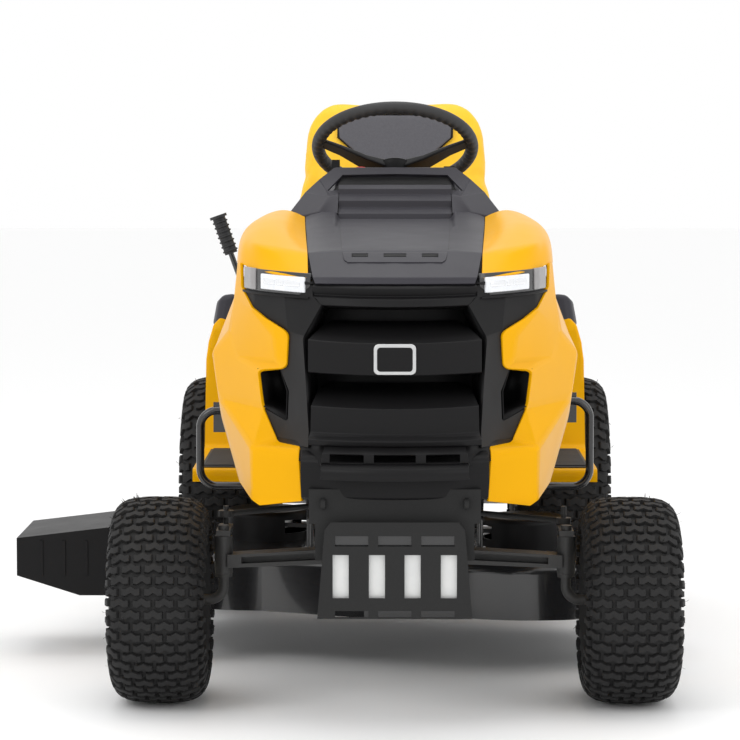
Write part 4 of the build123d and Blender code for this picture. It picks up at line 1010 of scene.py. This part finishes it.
piece("steering_wheel_rim", wheel_rim(), GRIP, "steering_wheel", ("steering_wheel",))
for angle in (90, 188, 352):
    solid_piece("steering_spoke_%d" % angle, wheel_spoke(angle), BLACK_PLASTIC, "steering_wheel",
                rounding=4, segments=3)
shaft = disc_ring(tuple(WHEEL_MIDDLE), COLUMN_AXIS, [
    (1, -743), (15, -743), (16, -741), (16, -731), (14, -729), (9.5, -728), (9.5, -66), (1, -65)], 32)
edges_by_angle(piece("steering_column_shaft", shaft, ZINC, "steering_wheel",
                     ("steering_shaft",)), 35)
hub = disc_ring(tuple(WHEEL_MIDDLE), COLUMN_AXIS, [
    (24, -68), (30, -66), (36, -56), (38, -50), (38, -46), (34, -43), (33, -44), (30, -43), (16, -41),
    (1, -40)])
edges_by_angle(piece("steering_hub", hub, BLACK_PLASTIC, "steering_wheel"), 35)

# ---- fender ----
FENDER_XS = [0, 124, 153, 176, 250, 288, 336, 356, 376, 392, 402, 407]
FENDER_ROWS = [
    (500, 352), (500, 366), (503, 374), (510, 378), (640, 378), (800, 378), (878, 378), (892, 388),
    (908, 433),
    (936, 520), (950, 590), (958, 632), (966, 656), (985, 668), (1072, 668), (1140, 668), (1230, 668),
    (1330, 668),
    (1410, 668), (1450, 650), (1472, 622), (1484, 570), (1486, 521)]
CORNER_FALL = {356: 1, 376: 8, 392: 28, 402: 62, 407: 100}
ARCH_RADIUS = 286
REAR_AXLE = (1230, 254)


def fender_point(x, y, z):
    """The outer corners fall away in a wide round."""
    limit = 668 - CORNER_FALL.get(abs(x), 0)
    return (x, y, min(z, limit))


def skirt_low(y):
    """Height of the skirt's lower edge, which follows the wheel arch."""
    run = ARCH_RADIUS ** 2 - (y - REAR_AXLE[0]) ** 2
    return max(522, REAR_AXLE[1] + math.sqrt(run)) if run > 0 else 522


def fender():
    """Boards, riser, seat deck and rounded corners in one moulding."""
    rows = []
    for y, z in FENDER_ROWS:
        half = [fender_point(x, y, z) for x in FENDER_XS]
        rows.append([(-x, y, z) for x, y, z in reversed(half[1:])] + half)
    middle = len(FENDER_XS) - 1
    skipped = set()
    for i, (y, z) in enumerate(FENDER_ROWS[:-1]):
        for j in range(2 * middle):
            near = FENDER_XS[j - middle + 1] if j >= middle else FENDER_XS[middle - j]
            tunnel = near <= 176 if z < 385 else near <= 153 and z < 433
            lever_slot = 958 <= y < 1072 and j == middle - 6
            if tunnel or lever_slot:
                skipped.add((i, j))
    obj = piece("fender_skin", grid(rows, skipped), YELLOW, "root", ("fender_body",),
                core=(0, 1200, 500))
    soften(obj, 6, 3, 12)
    thicken(obj, 4)
    soften(obj, 1.2, 2, CORNER_ANGLE)
    even_shading(obj)


def fender_skirt(name, flip):
    steps = [952, 960, 975, 1000, 1040, 1090, 1140, 1200, 1260, 1320, 1370, 1410, 1440, 1465, 1484]
    rows = [[], []]
    for y in steps:
        top = 568 if 958 < y < 1480 else 560
        low = min(skirt_low(y), top - 6)
        rows[0].append((407, y, top))
        rows[1].append((405, y, low))
    obj = piece(name, flip(grid(rows)), YELLOW, "root", core=(0, 1230, 500))
    thicken(obj, 4)
    soften(obj, 1.0, 2, CORNER_ANGLE)


fender()
fender_skirt("fender_skirt_left", lambda shape: shape)
fender_skirt("fender_skirt_right", mirrored)


def fender_console(side, flip):
    """Dark moulded pad on the fender's front corner."""
    lower = [(334, 962, 640), (386, 962, 628), (396, 990, 632), (396, 1080, 640), (334, 1080, 650)]
    upper = [(342, 972, 712), (376, 972, 704), (384, 996, 698), (380, 1072, 676), (342, 1074, 682)]
    points = lower + upper
    faces = [(i, (i + 1) % 5, 5 + (i + 1) % 5, 5 + i) for i in range(5)] + [(4, 3, 2, 1, 0), (5, 6, 7, 8, 9)]
    solid_piece("fender_console_" + side, flip((points, faces)), COVER_GREY, "root",
                rounding=14,
                segments=5)


def foot_mat(side, flip):
    """Ribbed rubber mat on a running board."""
    shapes = [blocky((196, 392), (520, 862), (378, 381))]
    for step in range(22):
        y = 530 + step * 15
        shapes.append(blocky((202, 386), (y, y + 7), (380, 384)))
    obj = solid_piece("foot_mat_" + side, flip(joined(shapes)), GRIP, "root", rounding=1.0,
                      segments=2)
    return obj


for side, flip in (("left", lambda shape: shape), ("right", mirrored)):
    fender_console(side, flip)
    foot_mat(side, flip)
for x in (-132, 124):
    eye = disc_ring((x, 986, 690), (1, 0, 0), [(11, 0), (11.7, 1), (11.7, 7), (11, 8)], 24)
    solid_piece("seat_lug_%s" % ("left" if x > 0 else "right"),
                joined([blocky((x, x + 8), (975, 997), (655, 689)), eye]),
                GLOSS_BLACK, "root", rounding=0.5, segments=2)
solid_piece("fender_post", blocky((-150, 45), (1332, 1358), (430, 662)), GLOSS_BLACK, "root",
            rounding=3)

# ---- badge ----
def plate_shape(wide, high, y, depth, corner=9, steps=6):
    """A rounded rectangle standing on the bowed slat, from y forwards."""
    outline = []
    for cx, cz, start in ((1, 1, 0), (-1, 1, 90), (-1, -1, 180), (1, -1, 270)):
        for step in range(steps + 1):
            angle = math.radians(start + 90 * step / steps)
            outline.append((cx * (wide - corner) + corner * math.cos(angle),
                            cz * (high - corner) + corner * math.sin(angle)))
    count = len(outline)
    points = [(x, y, BADGE_Z + z) for x, z in outline] + [(x, y - depth, BADGE_Z + z) for x, z in outline]
    faces = [(i, (i + 1) % count, count + (i + 1) % count, count + i) for i in range(count)]
    return points, faces + [tuple(range(count)), tuple(range(2 * count - 1, count - 1, -1))]


BADGE_Z = 656
solid_piece("badge_ring", plate_shape(37, 27, -284, 9), ZINC, "hood", rounding=1.5)
solid_piece("badge_centre", plate_shape(31, 21, -286, 9, 6), BLACK_PLASTIC, "hood",
            rounding=1.0)


# ---- seat ----
def stuffed_pad(name, shape, material, body, replaced, cap, pressure=3.0):
    """A stuffed piece: a closed net of rings, remeshed and blown up by a short cloth run."""
    obj = piece(name, shape, material, body, replaced)
    remesh = obj.modifiers.new("even net", "REMESH")
    remesh.mode = "VOXEL"
    remesh.voxel_size = 0.006
    remesh.use_smooth_shade = True
    apply_modifiers(obj)
    inflate(obj, pressure, cap)
    rounding = obj.modifiers.new("relax", "SMOOTH")
    rounding.factor = 0.5
    rounding.iterations = 12
    smooth(obj, 1)
    return obj


def apply_modifiers(obj):
    graph = bpy.context.evaluated_depsgraph_get()
    graph.update()
    made = bpy.data.meshes.new_from_object(obj.evaluated_get(graph), depsgraph=graph)
    obj.modifiers.clear()
    material = obj.data.materials[0]
    obj.data = made
    if not made.materials:
        made.materials.append(material)
    for face in made.polygons:
        face.use_smooth = True


def inflate(obj, pressure, cap):
    """Runs the cloth for a few frames and keeps each point within cap of where it began."""
    start = [v.co.copy() for v in obj.data.vertices]
    cloth = obj.modifiers.new("stuffing", "CLOTH")
    cloth.settings.use_pressure = True
    cloth.settings.uniform_pressure_force = pressure
    cloth.settings.effector_weights.gravity = 0.0
    cloth.settings.quality = 5
    cloth.settings.tension_stiffness = 20.0
    cloth.settings.compression_stiffness = 20.0
    cloth.collision_settings.use_collision = False
    cloth.point_cache.frame_start = 1
    cloth.point_cache.frame_end = 20
    scene = bpy.context.scene
    for number in range(1, 19):
        scene.frame_set(number)
    apply_modifiers(obj)
    scene.frame_set(1)
    limit = cap * MM
    for vertex, place in zip(obj.data.vertices, start):
        shift = vertex.co - place
        if shift.length > limit:
            vertex.co = place + shift * (limit / shift.length)


def ring_stack(rings):
    """A closed solid through rings of equal length."""
    count = len(rings[0])
    points = [p for ring in rings for p in ring]
    faces = []
    for i in range(len(rings) - 1):
        for j in range(count):
            k = (j + 1) % count
            faces.append((i * count + j, i * count + k, (i + 1) * count + k, (i + 1) * count + j))
    faces.append(tuple(range(count - 1, -1, -1)))
    faces.append(tuple(range((len(rings) - 1) * count, len(rings) * count)))
    return points, faces


def rounded_ring(half, low, high, corner, place, steps=5):
    """A rounded rectangle (x, v) from -half to half and low to high, put in space by place(x, v)."""
    ring = []
    for cx, cv, start in ((1, 1, 0), (-1, 1, 90), (-1, -1, 180), (1, -1, 270)):
        for step in range(steps + 1):
            angle = math.radians(start + 90 * step / steps)
            centre_v = high - corner if cv > 0 else low + corner
            ring.append(place(cx * (half - corner) + corner * math.cos(angle),
                              centre_v + corner * math.sin(angle)))
    return ring


def cushion_rings():
    """The seat cushion: rounded in plan, rising at the back, with a roll at the front."""
    rings = []
    for z, half, front, back, corner in ((714, 176, 922, 1220, 50), (722, 190, 906, 1232, 56),
                                         (744, 194, 900, 1236, 60),
                                         (768, 192, 904, 1234, 60), (784, 178, 918, 1222, 56)):
        rings.append(rounded_ring(half, front, back, corner, lambda x, v, z=z: (x, v, z)))
    return ring_stack(rings)


def back_place(x, up, out):
    """A point of the seat back: up along its leaning face and out towards the front."""
    return (x, 1280 + (up - 770) * 0.24 - out, up)


def back_rings():
    rings = []
    for out, shrink in ((-20, 14), (-10, 3), (8, 0), (24, 3), (32, 16)):
        def place(x, v, out=out):
            taper = 1.0 - 0.125 * max(0.0, (v - 924) / 150)
            return back_place(x * taper, v, out)
        rings.append(rounded_ring(229 - shrink, 772 + shrink, 1126 - shrink, 74, place))
    return ring_stack(rings)


stuffed_pad("seat_cushion_pad", cushion_rings(), SEAT_GREY, "seat", ("seat_cushion",), 24)
stuffed_pad("seat_back_pad", back_rings(), SEAT_YELLOW, "seat", ("seat_back",), 22)

CENTRE_PANEL = [(-112, 1096), (-130, 1080), (-128, 1045), (-88, 1010), (-52, 978), (-50, 850), (50, 850),
                (52, 978),
                (88, 1010), (128, 1045), (130, 1080), (112, 1096)]


def seat_centre():
    """Grey centre panel of the back, V-shaped towards the foot, standing a little proud."""
    rings = []
    for out, scale in ((10, 1.0), (58, 1.0), (64, 0.97), (66, 0.90)):
        rings.append([back_place(x * scale, 965 + (up - 965) * scale, out) for x, up in CENTRE_PANEL])
    obj = solid_piece("seat_back_panel", ring_stack(rings), SEAT_GREY, "seat", rounding=5,
                      segments=4)


def piping(name, path, radius=3.2):
    """A thin cord sewn along a seam, through the points of its path."""
    points, faces = [], []
    sides = 8
    for i, here in enumerate(path):
        ahead = Vector(path[min(i + 1, len(path) - 1)]) - Vector(path[max(i - 1, 0)])
        frame_turn = ahead.to_track_quat("Z", "Y").to_matrix()
        for k in range(sides):
            angle = 2 * math.pi * k / sides
            offset = frame_turn @ Vector((radius * math.cos(angle), radius * math.sin(angle), 0))
            points.append(tuple(Vector(here) + offset))
    for i in range(len(path) - 1):
        for k in range(sides):
            following = (k + 1) % sides
            faces.append((i * sides + k, i * sides + following, (i + 1) * sides + following,
                          (i + 1) * sides + k))
    obj = piece(name, (points, faces), BLACK_PLASTIC, "seat")
    return obj


seat_centre()
piping("seat_piping", [back_place(x, up, 60) for x, up in CENTRE_PANEL + CENTRE_PANEL[:1]])

# ---- small pieces ----
solid_piece("bumper_backing", blocky((-112, 112), (-313, -309), (236, 324)), BRIGHT_ZINC, "root",
            rounding=0.8)
solid_piece("bumper_bar", blocky((-112, 112), (-314, -310), (328, 358)), GLOSS_BLACK, "root",
            rounding=1)
for step in range(7):
    down = Vector((64, 0, -182)).normalized()
    centre = Vector((-386, 1050, 872)) + down * (10 + step * 11)
    ring = disc_ring(tuple(centre), down, [(13, 0), (16.5, 1.5), (17, 3), (16.5, 4.5), (13, 6)], 32)
    edges_by_angle(piece("grip_rib_%d" % step, ring, GRIP, "lift_lever"), 40)

ROUNDED = [
    ("bumper_plate", CHARCOAL, "root", "charcoal_paint", 1.2),
    ("discharge_chute", BLACK_PLASTIC, "discharge_chute", "black_plastic", 1.5),
    ("battery", BLACK_PLASTIC, "root", "black_plastic", 3),
    ("fuel_tank", BLACK_PLASTIC, "root", "black_plastic", 3),
    ("engine_shroud", BLACK_PLASTIC, "root", "black_plastic", 3),
    ("engine_block", ALLOY, "root", "aluminium", 3),
    ("muffler", CAST, "root", "cast_iron", 2), ("transaxle", ALLOY, "root", "aluminium", 2.5),
    ("front_axle", CAST, "front_axle", "cast_iron", 2),
    ("hitch_plate", CHARCOAL, "root", "charcoal_paint", 1.5),
    ("seat_pan", BLACK_PLASTIC, "seat", "black_plastic", 2),
    ("seat_bracket", GLOSS_BLACK, "seat_bracket", "black_paint", 1),
    ("pto_knob", RED, "pto_knob", "red_plastic", 2),
    ("throttle_lever", BLACK_PLASTIC, "throttle_lever", "black_plastic", 1),
    ("ignition_key", BLACK_PLASTIC, "ignition_key", "black_plastic", 1),
    ("brake_pedal", GLOSS_BLACK, "brake_pedal", "black_paint", 2),
    ("forward_pedal", GLOSS_BLACK, "forward_pedal", "black_paint", 2),
    ("reverse_pedal", GLOSS_BLACK, "reverse_pedal", "black_paint", 2)]
for node, material, body, slot, width in ROUNDED:
    rounded_copy(node, material, body, slot, width, 2)
